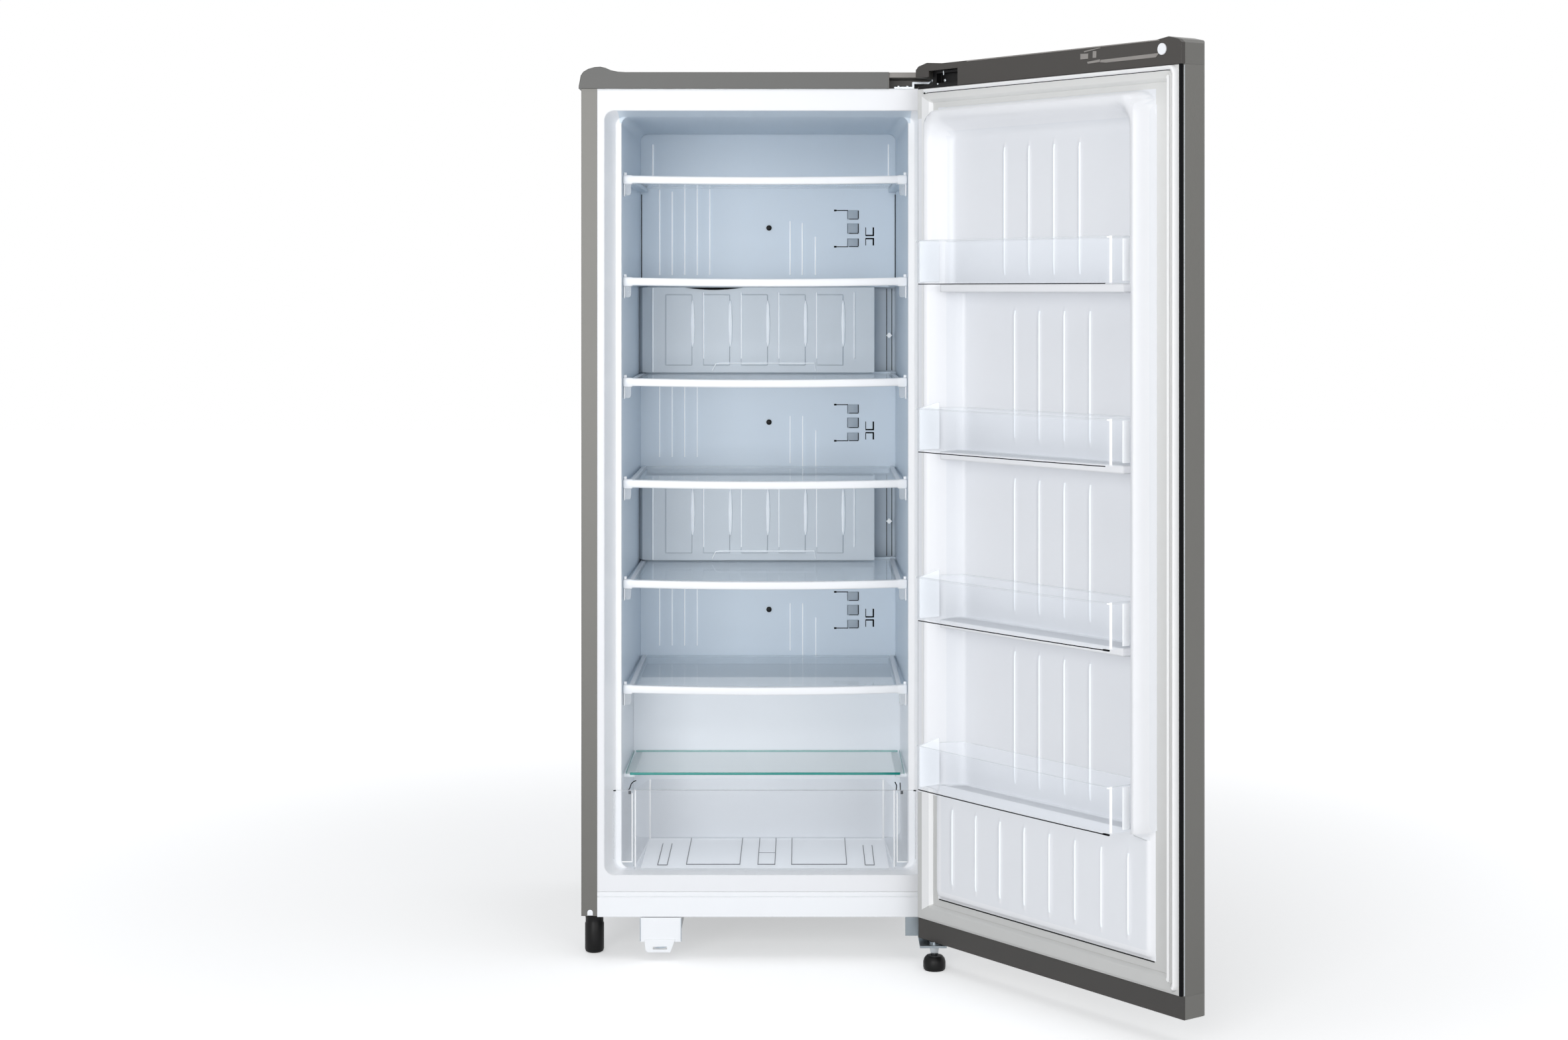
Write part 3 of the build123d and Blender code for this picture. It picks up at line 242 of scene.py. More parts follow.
def moulded_abs_grey():
    """Injection moulded ABS with an even satin spark finish."""
    return surface("moulded_abs_grey", colours().cover, 0.45, edge_mm=1.4, spread=0.015,
                   grain_mm=0.8, grain_height_mm=0.012)[0]


def moulded_abs_painted_light():
    """The same ABS painted a paler grey, as painted light where it slopes up to the light or lies in a
    recess.
    """
    return surface("moulded_abs_painted_light", "#8E8A86", 0.45, edge_mm=0.8, spread=0.02)[0]


def moulded_abs_dark():
    """Injection moulded ABS, dark, with the door's grey paint over its outer side."""
    # Painted shade towards the floor and painted light towards the top; the grey outer side is the door's own
    # paint.
    material, tree, shader, tint, place = surface(
        "moulded_abs_dark", colours().caps, 0.4, edge_mm=1.2, spread=0.015, grain_mm=0.8,
        grain_height_mm=0.012, painted_light_grade=0.15)
    inwards = DOOR_PLACE.to_3x3() @ Vector((0, 1, 0))
    seam = (DOOR_PLACE @ Vector((HALF, METAL_PLANE - 1.5, 0))) * MM
    depth = add_node(tree, "ShaderNodeVectorMath", {"operation": "DOT_PRODUCT", 1: inwards}, {0: place})
    outer = add_node(tree, "ShaderNodeMath", {"operation": "LESS_THAN", 1: seam.dot(inwards)},
                     {0: depth.outputs["Value"]})
    blend = add_node(tree, "ShaderNodeMix", {"data_type": "RGBA", 7: rgba(colours().shell)},
                     {0: outer.outputs["Value"], 6: tint})
    tree.links.new(blend.outputs[2], shader.inputs["Base Color"])
    return material


def vacuum_formed_white():
    """Vacuum formed HIPS: a smooth gloss white with broad soft corners."""
    return surface("vacuum_formed_hips_white", colours().liner, 0.32, edge_mm=3.5, spread=0.008,
                   grain_mm=3.0, grain_height_mm=0.015)[0]


def vacuum_formed_flange_painted_shade():
    """Vacuum formed HIPS on the door's flat flange: duller than the border, painted greyer as shade, darker
    at the floor and paler at the top.
    """
    return surface("vacuum_formed_hips_flange_painted_shade", colours().flange, 0.45, edge_mm=1.5, spread=0.01, painted_light_grade=0.12,
                   grain_mm=2.0, grain_height_mm=0.012)[0]


def vacuum_formed_panel_painted_shade():
    """Vacuum formed HIPS of the door's recessed flat panels: painted cooler and a little greyer than the
    borders, as shade in the recess.
    """
    return surface("vacuum_formed_hips_panel_painted_shade", colours().panel, 0.36, edge_mm=2.0, spread=0.012,
                   grain_mm=3.0, grain_height_mm=0.012)[0]


def vacuum_formed_chamber_painted_shade():
    """Vacuum formed HIPS: white at the mouth, painted paler there as light, and a cooler painted shade deep
    in the chamber.
    """
    material, tree, shader, tint, place = surface(
        "vacuum_formed_hips_chamber_painted_shade", colours().liner, 0.32, edge_mm=3.0, spread=0.008,
        grain_mm=3.0, grain_height_mm=0.015)
    axes = add_node(tree, "ShaderNodeSeparateXYZ", links={"Vector": place})
    side = add_node(tree, "ShaderNodeMath", {"operation": "ABSOLUTE"}, {0: axes.outputs["X"]})
    behind_band, near_top, between_sides = [
        add_node(tree, "ShaderNodeMath", {"operation": way, 1: limit * MM}, {0: measure}).outputs["Value"]
        for way, limit, measure in (("GREATER_THAN", FRONT + 0.5, axes.outputs["Y"]),
                                    ("GREATER_THAN", SHELL_TOP - CEILING_DROP, axes.outputs["Z"]),
                                    ("LESS_THAN", HALF - REVEAL_WIDTH, side.outputs["Value"]))]
    share = behind_band
    for gate in (near_top, between_sides):
        share = add_node(tree, "ShaderNodeMath", {"operation": "MULTIPLY"},
                         {0: share, 1: gate}).outputs["Value"]
    inwards = add_node(tree, "ShaderNodeMapRange",
                       {"interpolation_type": "SMOOTHSTEP", "From Min": (FRONT + REVEAL_DEPTH) * MM,
                        "From Max": (FRONT + REVEAL_DEPTH + 16) * MM}, {"Value": axes.outputs["Y"]})
    deep = add_node(tree, "ShaderNodeMath", {"operation": "MAXIMUM"},
                    {0: inwards.outputs["Result"], 1: share})
    over_step = add_node(tree, "ShaderNodeMapRange", {"From Min": STEP_Z * MM, "From Max": (STEP_Z + 8) * MM,
                                                      "To Min": 0.35}, {"Value": axes.outputs["Z"]})
    cool = add_node(tree, "ShaderNodeMath", {"operation": "MULTIPLY"},
                    {0: deep.outputs["Value"], 1: over_step.outputs["Result"]})
    # Painted light: behind the front face the liner is drawn a paler white than its own.
    mouth = add_node(tree, "ShaderNodeMix", {"data_type": "RGBA", 7: rgba(hex_linear("#FCFDFF"))},
                     {0: behind_band, 6: tint})
    # Painted shade: the cool chamber colour deep inside and under the ceiling, weaker below the step.
    blend = add_node(tree, "ShaderNodeMix", {"data_type": "RGBA", 7: rgba(colours().chamber)},
                     {0: cool.outputs["Value"], 6: mouth.outputs[2]})
    tree.links.new(blend.outputs[2], shader.inputs["Base Color"])
    return material


def moulded_duct():
    """Injection moulded PP of the duct panels, in the chamber's cool painted shade, with a soft sheen."""
    return surface("moulded_pp_duct", colours().chamber, 0.36, edge_mm=2.0, spread=0.012,
                   grain_mm=2.0, grain_height_mm=0.012)[0]


def moulded_duct_cover():
    """The same PP on the covers that stand out from the wall, painted a greyer, less blue shade than the
    panels.
    """
    return surface("moulded_pp_duct_cover", "#D2DAE1", 0.34, edge_mm=2.0, spread=0.012,
                   grain_mm=2.0, grain_height_mm=0.012)[0]


def moulded_white():
    """Injection moulded ABS, gloss white, for trims and clips."""
    return surface("moulded_abs_white", "#F6F8FB", 0.28, edge_mm=1.0, spread=0.005,
                   grain_mm=1.5, grain_height_mm=0.006)[0]


def see_through(name, colour, alpha, roughness, **extra):
    """Clear moulding or plate, thin enough that light passes with little bending."""
    material, tree, shader, tint, place = surface(name, colour, roughness, edge_mm=0.6,
                                                  grain_height_mm=0.0005, **extra)
    path = add_node(tree, "ShaderNodeLightPath")
    lit = add_node(tree, "ShaderNodeMath", {"operation": "MAXIMUM"},
                   {0: path.outputs["Is Shadow Ray"], 1: path.outputs["Is Diffuse Ray"]})
    seen = add_node(tree, "ShaderNodeMapRange", {"To Min": alpha, "To Max": alpha * 0.2},
                    {"Value": lit.outputs["Value"]})
    tree.links.new(seen.outputs["Result"], shader.inputs["Alpha"])
    return material


def clear_san():
    """Injection moulded SAN: water-clear plastic with a slight milky haze and bright edges, and a faint
    painted glow.
    """
    return see_through("moulded_san_clear_painted_glow", "#EFF5FF", 0.1, 0.12,
                       Emission_Color=(0.85, 0.93, 1, 1), Emission_Strength=0.2)


def san_painted_highlight():
    """Painted highlight on edges of moulded SAN seen end on: nearly opaque white with a faint glow."""
    return see_through("moulded_san_painted_highlight", "#FBFCFD", 0.8, 0.2,
                       Emission_Color=(1, 1, 1, 1), Emission_Strength=0.12)


def frosted_san_painted_glow():
    """Spark-textured SAN of a drawer floor, with a painted glow that lightens it."""
    return see_through("moulded_san_frosted_painted_glow", "#EEF2F7", 0.5, 0.4,
                       Emission_Color=(0.93, 0.96, 1, 1), Emission_Strength=0.26)


def hazy_san():
    """Thick or doubled SAN seen flat: greyer than a single wall."""
    return see_through("moulded_san_thick", "#DDE1E6", 0.26, 0.15)


def shelf_glass():
    """Toughened float glass over a white shelf bed: a cool see-through sheet."""
    return see_through("toughened_glass_shelf", "#CFDDE8", 0.42, 0.06)


def green_glass():
    """Toughened float glass with ground edges: clear face."""
    return see_through("toughened_glass_clear", "#D5ECEA", 0.2, 0.04)


def glass_edge():
    """Ground edge of float glass: the long path through it shows its green."""
    return surface("ground_glass_edge", colours().glass_edge, 0.2, edge_mm=0.3, spread=0.1,
                   spread_mm=30.0)[0]


def glass_side():
    """Side edges of float glass, seen nearly along the plate: a paler green."""
    return see_through("ground_glass_side", "#5FB9B3", 0.6, 0.2)


def extruded_seal():
    """Extruded soft PVC with a magnet inside: pale, low sheen."""
    return surface("extruded_pvc_seal", "#F2F2F2", 0.5, edge_mm=0.6, spread=0.01)[0]


def extruded_seal_painted_shade():
    """The same soft PVC where it lies flat, painted as grey as the flange's painted shade, darker at the
    floor.
    """
    return surface("extruded_pvc_seal_painted_shade", colours().flange, 0.55, edge_mm=0.6, spread=0.01,
                   painted_light_grade=0.12)[0]


def shaded_duct():
    """Moulded PP at the bottom of a vent box, in shade: blue-grey."""
    return surface("moulded_pp_vent", "#AEB9C3", 0.5, edge_mm=0.4)[0]


def black_pp():
    """Moulded black PP with a light sheen."""
    return surface("moulded_pp_black", "#0E0E0F", 0.4, edge_mm=0.8, spread=0.1,
                   grain_mm=0.9, grain_height_mm=0.01, Specular_IOR_Level=0.22)[0]


def black_rubber():
    """Moulded nitrile rubber, dull black."""
    return surface("moulded_rubber_black", "#1B1B1B", 0.75, edge_mm=0.8)[0]


def black_enamel():
    """Baked black enamel on pressed steel."""
    return surface("baked_enamel_black", "#191A1C", 0.3, edge_mm=1.5, spread=0.1,
                   Coat_Weight=0.3)[0]


def fin_aluminium():
    """Rolled aluminium fin stock, bright and thin."""
    return surface("rolled_aluminium_fin", "#D3D5D8", 0.3, edge_mm=0.2, Metallic=1.0)[0]


def rigid_foam():
    """Poured polyurethane foam: matt cream with fine cells."""
    return surface("poured_pu_foam", "#E8DDB5", 0.9, edge_mm=1.0, spread=0.06,
                   grain_mm=1.2, grain_height_mm=0.2)[0]


def painted_shadow_black():
    """Painted shadow: near black for the shaded bottoms of slots, grooves, seams, folds and gaps."""
    return surface("painted_shadow_near_black", "#0F1012", 0.8, edge_mm=0.2, Specular_IOR_Level=0.1)[0]


def rib_painted_highlight():
    """Painted highlight on raised thin ribs: near white with a faint glow, for crests that catch the light as
    white lines.
    """
    return surface("moulded_pp_rib_painted_highlight", "#F7FBFF", 0.25, edge_mm=0.4, spread=0.0,
                   Emission_Color=(0.88, 0.94, 1, 1), Emission_Strength=0.16)[0]


MADE = {}


def finish_of(maker):
    """The material that a maker gives, made once."""
    if maker.__name__ not in MADE:
        MADE[maker.__name__] = maker()
    return MADE[maker.__name__]


def dress(maker, *nodes):
    """Give frame nodes a finish."""
    for node in nodes:
        mesh = frame["nodes"][node].data
        mesh.materials.clear()
        mesh.materials.append(finish_of(maker))


# ---------------------------------------------------------------- mesh making
def rounded_rectangle(x0, x1, y0, y1, radius, steps=4):
    """Corner points of a rounded rectangle, anticlockwise."""
    radius = max(min(radius, (x1 - x0) / 2 - 0.01, (y1 - y0) / 2 - 0.01), 0.01)
    points = []
    for cx, cy, start in ((x1 - radius, y0 + radius, -90), (x1 - radius, y1 - radius, 0),
                          (x0 + radius, y1 - radius, 90), (x0 + radius, y0 + radius, 180)):
        for step in range(steps + 1):
            angle = math.radians(start + 90 * step / steps)
            points.append((cx + radius * math.cos(angle), cy + radius * math.sin(angle)))
    return points


def rounded_loop(corners, steps=4):
    """Closed loop through (x, y, radius) corners, each rounded by an arc."""
    points = []
    count = len(corners)
    for index, (x, y, radius) in enumerate(corners):
        spot = Vector((x, y))
        before = Vector(corners[index - 1][:2]) - spot
        after = Vector(corners[(index + 1) % count][:2]) - spot
        if radius <= 0:
            points.append((x, y))
            continue
        half = before.angle(after) / 2
        reach = min(radius / math.tan(half), 0.48 * before.length, 0.48 * after.length)
        radius = reach * math.tan(half)
        middle = spot + (before.normalized() + after.normalized()).normalized() * radius / math.sin(half)
        start = spot + before.normalized() * reach - middle
        turn = start.angle_signed(spot + after.normalized() * reach - middle)
        for step in range(steps + 1):
            angle = -turn * step / steps
            spin = Matrix.Rotation(angle, 2)
            points.append(tuple(middle + spin @ start))
    return points


class Mould:
    """One mesh in the making, in millimetres."""

    def __init__(self):
        self.mesh = bmesh.new()

    def block(self, x, y, z, edge=0.6, steps=2):
        """Block between two places on each axis, with rounded edges."""
        spans = [sorted(pair) for pair in (x, y, z)]
        size = [high - low for low, high in spans]
        middle = Vector([(low + high) / 2 for low, high in spans])
        place = Matrix.Translation(middle) @ Matrix.Diagonal((*size, 1))
        made = bmesh.ops.create_cube(self.mesh, size=1, matrix=place)
        lines = dict.fromkeys(line for vert in made["verts"] for line in vert.link_edges)
        bmesh.ops.bevel(self.mesh, geom=list(lines), offset=min(edge, 0.45 * min(size)),
                        segments=steps, profile=0.5, affect="EDGES")
        return self

    def skin(self, rings, caps=True, closed=False):
        """Skin over rings of equally many points; closed joins the last ring to the first."""
        rows = [[self.mesh.verts.new(point) for point in ring] for ring in rings]
        pairs = list(zip(rows, rows[1:]))
        if closed:
            pairs.append((rows[-1], rows[0]))
        for low, high in pairs:
            for index in range(len(low)):
                after = (index + 1) % len(low)
                self.mesh.faces.new((low[index], low[after], high[after], high[index]))
        if caps and not closed:
            self.mesh.faces.new(list(reversed(rows[0])))
            self.mesh.faces.new(rows[-1])
        return self

    def lathe(self, profile, centre, sides=40, axis="Z"):
        """Turned solid from (radius, height) points, round an axis through centre."""
        rings = []
        for radius, height in profile:
            ring = []
            for side in range(sides):
                angle = 2 * math.pi * side / sides
                across = (radius * math.cos(angle), radius * math.sin(angle))
                spot = (*across, height) if axis == "Z" else (across[0], height, -across[1])
                ring.append(Vector(centre) + Vector(spot))
            rings.append(ring)
        return self.skin(rings)

    def tube(self, points, radius, sides=12):
        """Round tube along points."""
        spots = [Vector(point) for point in points]
        rings = []
        side_way = None
        for index, spot in enumerate(spots):
            way = (spots[min(index + 1, len(spots) - 1)] - spots[max(index - 1, 0)]).normalized()
            if side_way is None:
                side_way = way.orthogonal().normalized()
            side_way = (side_way - way * side_way.dot(way)).normalized()
            other = way.cross(side_way)
            rings.append([spot + (side_way * math.cos(a) + other * math.sin(a)) * radius
                          for a in (2 * math.pi * s / sides for s in range(sides))])
        return self.skin(rings)

    def prism(self, outline, low, high, flat="XZ", edge=0.4):
        """Solid over an outline of points in a plane, between two places on the third axis."""
        def spot(point, third):
            if flat == "XZ":
                return (point[0], third, point[1])
            if flat == "YZ":
                return (third, point[0], point[1])
            return (point[0], point[1], third)
        centre = Vector((sum(p[0] for p in outline), sum(p[1] for p in outline))) / len(outline)
        small = [tuple(Vector(p) + (centre - Vector(p)).normalized() * edge) for p in outline]
        return self.skin([[spot(p, low) for p in small], [spot(p, low + edge) for p in outline],
                          [spot(p, high - edge) for p in outline], [spot(p, high) for p in small]])

    def finish(self, name, maker, body, slot, stands_for=(), sharp=35.0, others=(), pick=None):
        """Turn the mesh into a piece that rides on a body, in the place of the nodes it stands for.

        pick gives a face the place of its finish: 0 for the maker's, then those of the others.
        """
        bmesh.ops.recalc_face_normals(self.mesh, faces=self.mesh.faces)
        if pick:
            for face in self.mesh.faces:
                face.material_index = pick(face.calc_center_median())
        place = Matrix.Scale(MM, 4)
        if body == "door" or body.startswith("basket"):
            place = place @ DOOR_PLACE
        self.mesh.transform(place)
        mesh = bpy.data.meshes.new(name)
        self.mesh.to_mesh(mesh)
        self.mesh.free()
        mesh.shade_smooth()
        mesh.set_sharp_from_angle(angle=math.radians(sharp))
        for each in (maker, *others):
            mesh.materials.append(finish_of(each))
        piece = bpy.data.objects.new(name, mesh)
        bpy.context.collection.objects.link(piece)
        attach(piece, body)
        if stands_for:
            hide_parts(*stands_for)


def door_x(q):
    """X of a place that is q from the hinge edge of the closed door."""
    return HALF - q


def door_y(h):
    """Y of a place that is h inside the door's metal, with the door closed."""
    return METAL_PLANE + h


# ---------------------------------------------------------------- cabinet pieces
COVER_FLAT = 23.9           # flat run of the top cover, over its bottom
NOTCH_WIDTH = 84.5          # recess for the top hinge, at the right end of the cover
NOTCH_DEPTH = 53.0
NOTCH_HEIGHT = 16.0


class FREEZER_OT_shell(bpy.types.Operator):
    """Finish the steel shell, the top cover and the base"""
    bl_idname = "freezer.shell"
    bl_label = "Cabinet shell"

    def execute(self, context):
        dress(painted_steel, "side_panel_left", "side_panel_right")
        self.add_cover()
        dress(galvanised_steel, "back_panel", "top_panel", "base_plate", "compressor_bay_shield")
        dress(moulded_white, "lower_front_panel")
        dress(rigid_foam, "foam_insulation")
        plug = Mould().block((-258, -246), (FRONT + 0.1, FRONT + 0.7),
                             (SHELL_LOW.z + 0.6, SHELL_LOW.z + 11), 0.2)
        plug.finish("shell_slot_plug", moulded_white, "cabinet", "liner_white")
        return {"FINISHED"}

    def add_cover(self):
        """Top cover with a swept-up left end, and the recess for the hinge at its right."""
        low, high = span("top_cover")
        flat = low.z + COVER_FLAT
        swept = ((0, low.z), (0.2, low.z + 4), (3, low.z + 19), (6.8, low.z + 24.5), (14, low.z + 28.7),
                 (23, high.z - 0.6), (31, high.z), (38, high.z - 1.6), (46, flat + 2.8), (56, flat + 0.7),
                 (68, flat))
        notch_x = HALF - NOTCH_WIDTH
        notch_top = low.z + NOTCH_HEIGHT
        notch_back = FRONT + NOTCH_DEPTH
        cover = Mould()
        cover.prism([(low.x + x, z) for x, z in swept] + [(notch_x, flat), (notch_x, low.z)],
                    low.y, high.y, edge=0.8)
        right_end = [(notch_x, low.z), (notch_x, flat), (high.x - 2, flat), (high.x, flat - 2.5),
                     (high.x, low.z)]
        cover.prism(right_end, notch_back, high.y, edge=0.8)
        brow = [(low.y + 1.2, notch_top), (low.y + 3.5, flat - 0.6), (low.y + 6, flat),
                (notch_back + 1, flat), (notch_back + 1, notch_top)]
        cover.prism(brow, notch_x, high.x - 1.5, "YZ", 0.6)
        # The notch and brow faces take the paler ABS: painted light.
        cover.finish("top_cover_moulding", moulded_abs_grey, "cabinet", "cover_grey", ("top_cover",), 28.0,
                     (moulded_abs_painted_light,),
                     lambda spot: int(spot.x > notch_x - 0.5 and spot.y < notch_back + 2
                                      and spot.z < flat - 0.3))


# Places on the chamber's back wall, measured in the photograph: X, and heights from each panel's screw.
SCREW_HEIGHTS = (1070.0, 759.0, 459.0)
SCREW_X = 1.4
LOUVRES = ((14, 28), (-9, 7), (-30, -17))
LOUVRE_X = (127.5, 144.5)
HOOKED_SLOTS = (28, -30)
CLIP_SLOTS = ((-12, 1, -12), (-28, -17, -17))       # low and high end of the legs, height of the bar
LEFT_RIB_X = -173.8
RIB_PITCH = 20.1
FLUTE_X = -102.0                                    # first flute rib of a duct cover
FLUTE_PITCH = 59.5


class FREEZER_OT_chamber(bpy.types.Operator):
    """Finish the liner and the ducts, and add vents, clips and panel ribs"""
    bl_idname = "freezer.chamber"
    bl_label = "Chamber"

    def execute(self, context):
        dress(vacuum_formed_chamber_painted_shade, "inner_liner")
        dress(moulded_duct, "duct_panel_upper", "duct_panel_middle", "duct_panel_lower")
        dress(moulded_duct_cover, "duct_cover_upper", "duct_cover_lower")
        wall = span("duct_panel_upper")[0].y
        slots = Mould()
        ribs = Mould()
        self.add_vents(wall, slots)
        self.add_panel_ribs(wall, ribs, slots)
        for name in ("duct_cover_upper", "duct_cover_lower"):
            self.add_cover_ribs(name, wall, ribs, slots)
        low, high = span("duct_cover_upper")
        # Painted shadow: a dark segment in the duct's mouth at the top of the upper cover.
        mouth = [(-131 + 92.3 * part / 12, high.z - 0.6 - 3.6 * math.sin(math.pi * part / 12))
                 for part in range(13)]
        slots.prism(mouth, low.y - 0.5, low.y + 0.6, edge=0.1)
        # Real raised ribs and painted highlights share one near-white glowing finish.
        ribs.finish("panel_ribs_and_painted_highlights", rib_painted_highlight, "cabinet", "liner_white")
        # Painted shadow in the vent slots, side gaps, seams and the duct's mouth.
        slots.finish("vent_slots_painted_shade", painted_shadow_black, "cabinet", "liner_white")
        return {"FINISHED"}

    def add_vents(self, wall, slots):
        """Louvre boxes filled with painted shade, painted shadow along their edges and in the hooked slots
        and clip slots, and the screw of each flat panel.
        """
        boxes = Mould()
        plugs = Mould()
        slot_y = (wall - 0.3, wall + 0.5)
        left, right = LOUVRE_X
        for screw in SCREW_HEIGHTS:
            for low, high in LOUVRES:
                z0, z1 = screw + low, screw + high
                boxes.block(LOUVRE_X, (wall - 1.0, wall + 0.6), (z0, z1), 0.8)
                slots.block((right - 0.9, right + 0.4), (wall - 1.2, wall), (z0 + 1, z1), 0.2)
                slots.block((left + 2, right - 0.3), (wall - 1.2, wall), (z0 - 0.2, z0 + 0.9), 0.2)
            for z in (screw + height for height in HOOKED_SLOTS):
                slots.block((106, 128), slot_y, about(z, 0.7), 0.2)
                slots.block((105.5, 109.5), (wall - 0.4, wall + 0.5), about(z, 1.4), 0.3)
            for low, high, bar in CLIP_SLOTS:
                for x, wide in ((155.7, 1.2), (167.3, 2.4)):
                    slots.block((x, x + wide), slot_y, (screw + low, screw + high), 0.2)
                slots.block((155.7, 169.6), slot_y, about(screw + bar, 1.1), 0.2)
            plugs.lathe([(0.01, -2.6), (3.2, -2.6), (4.3, -2.0), (4.3, 0.2), (0.01, 0.2)],
                        (SCREW_X, wall, screw), 20, "Y")
        plugs.finish("screw_plugs", black_pp, "cabinet", "black_plastic")
        boxes.finish("vent_boxes", shaded_duct, "cabinet", "liner_white")

    def add_panel_ribs(self, wall, ribs, slots):
        """Upright ribs of the flat panels, bolder on the upper one, near white as painted highlight, and
        painted shadow in its side gaps.
        """
        first = span("shelf_frame_1")[1].z + 4
        second = span("shelf_frame_2")[1].z + 5
        bold = [(x, first, SHELL_TOP - 58) for x in (-184.4, 192.8)]
        bold += [(LEFT_RIB_X + RIB_PITCH * number, second, second + length)
                 for number, length in enumerate((137, 134, 146, 144, 138))]
        bold += [(35.3, second, second + 87), (54.8, second, second + 84), (75.7, second, second + 62)]
        fine = []
        for screw, low, high in ((SCREW_HEIGHTS[1], 703, 826), (SCREW_HEIGHTS[2], 401, 500)):
            fine += [(LEFT_RIB_X + RIB_PITCH * number, low, high) for number in range(4)]
            fine += [(35.3, screw - 66, screw + 10), (55.5, screw - 85, screw + 10),
                     (76.5, screw - 77, screw - 13)]
        for runs, half, proud, edge in ((bold, 1.3, 1.8, 0.9), (fine, 0.8, 1.2, 0.5)):
            for x, low, high in runs:
                ribs.block(about(x, half), (wall - proud, wall + 0.5), (low, high), edge)
        for x in (-202.6, 203.4):
            slots.block(about(x, 0.7), (wall - 0.6, wall + 0.4), (second - 4, first - 20), 0.2)

    def add_cover_ribs(self, name, wall, ribs, slots):
        """Ribs and painted highlights of a duct cover's flutes, a painted highlight along its low tab, and
        painted shadow along the seam beside it.
        """
        low, high = span(name)
        face = low.y
        for number in range(5):
            x = FLUTE_X + FLUTE_PITCH * number
            ribs.block((x, x + 1.6), (face - 0.9, face + 0.5), (high.z - 113, high.z - 8), 0.5)
            crest = x - 16.7
            ribs.skin([[(crest - wide, face + 0.3, z), (crest, face - 1.4, z), (crest + wide, face + 0.3, z)]
                       for wide, z in ((0.7, high.z - 94), (2.2, high.z - 86), (3.0, high.z - 58),
                                       (2.1, high.z - 30), (0.7, high.z - 21))])
        ribs.block((-182.3, -180.7), (face - 0.8, face + 0.8), (low.z + 1, high.z - 1), 0.5)
        tab = [(-88, 3), (-82, 14), (-76, 15), (74, 15), (75.5, 3)]
        ribs.tube([(x, face - 0.2, low.z + rise) for x, rise in tab], 0.8, 8)
        for x in (189.8, 198.0):
            slots.block(about(x, 0.6), (wall - 0.5, wall + 0.4), (low.z + 2, high.z - 2), 0.2)
        knot = low.z + 0.43 * (high.z - low.z)
        ribs.prism([(189, knot), (193.8, knot - 5), (198.6, knot), (193.8, knot + 5)],
                   wall - 1.6, wall + 0.5, edge=0.5)


TRIM_HEIGHT = 11.6
TRIM_STATIONS = 36          # steps along the bow of a shelf trim
END_WIDTH = 14.0            # thicker end of a trim
HOOK_DROP = 31.0            # how far its hook hangs under its top


class FREEZER_OT_shelves(bpy.types.Operator):
    """Bowed white shelf trims over their glass, and the green-edged glass shelf"""
    bl_idname = "freezer.shelves"
    bl_label = "Shelves"

    def execute(self, context):
        for number in range(1, 7):
            self.add_frame(number)
            dress(shelf_glass, "shelf_glass_%d" % number)
        dress(green_glass, "glass_shelf")
        low, high = span("glass_shelf")
        sides = Mould()
        sides.block((low.x + 3, high.x - 3), about(high.y, 0.2), (low.z, high.z - 1), 0.1)
        for side in (low.x + 0.2, high.x - 0.2):
            sides.block(about(side, 0.3), (low.y + 3, high.y - 2), (low.z, high.z), 0.1)
        sides.finish("glass_shelf_sides", glass_side, "glass_shelf", "shelf_glass")
        edge = Mould().block((low.x + 6, high.x - 6), (low.y - 0.9, low.y + 0.3),
                             (low.z - 0.3, high.z + 0.2), 0.3)
        edge.finish("glass_shelf_edge", glass_edge, "glass_shelf", "shelf_glass")
        return {"FINISHED"}

    def add_frame(self, number):
        """White trim, bowed forwards and sagging at its middle, with the runners and hooks of one shelf."""
        low, high = span("shelf_frame_%d" % number)
        glass_low, glass_high = span("shelf_glass_%d" % number)
        bow = sizes().shelf_bow / MM
        sag = sizes().shelf_sag / MM
        half = high.x
        top = high.z
        under = top - TRIM_HEIGHT
        y_end = low.y + bow
        y_back = glass_low.y
        rings = []
        for station in range(TRIM_STATIONS + 1):
            x = half * (2 * station / TRIM_STATIONS - 1)
            lift = 1 - (x / half) ** 2
            ring = rounded_rectangle(y_end - bow * lift, y_back, under - sag * lift, top - sag * lift,
                                     sizes().trim_rounding / MM)
            rings.append([(x, y, z) for y, z in ring])
        shelf = Mould().skin(rings)
        hooks = Mould()
        for side in (-1, 1):
            shelf.block((side * half, side * (half - END_WIDTH)), (y_end - 0.8, y_back + 3.8),
                        (under - 1.8, top + 0.3), 2.0, 3)
            shelf.block((side * (half - 0.4), side * (half - 2.6)), (y_end + 2, y_back + 3.5),
                        (top - HOOK_DROP, under), 0.8)
            plate = rounded_rectangle(half - 11.5, half - 2.0, top - HOOK_DROP + 1, under + 4, 4.5)
            hooks.prism([(side * x, z) for x, z in plate], y_end + 3, y_end + 5.2, edge=0.5)
            shelf.block((side * (half - 0.4), side * (half - 5)), (y_end + 4, y_end + 9),
                        (top - 1, top + 4.5), 0.8)
            shelf.block((side * glass_high.x, side * (glass_high.x + 7)), (y_back, high.y),
                        (glass_high.z - 4, glass_high.z), 0.5)
        body = "shelf_%d" % number
        shelf.finish("shelf_trim_%d" % number, moulded_white, body, "shelf_white",
                     ("shelf_frame_%d" % number,))
        hooks.finish("shelf_hooks_%d" % number, hazy_san, body, "shelf_white")


DRAWER_FRONT = 3.2          # thickness of the drawer's front plate
DRAWER_FRONT_HALF = 191.0   # half the width of its body behind the front plate
DRAWER_BACK_HALF = 181.0    # and at the back
DRAWER_BACK_DROP = 24.0     # how much lower the back wall is than the front
DRAWER_FLOOR = 2.3


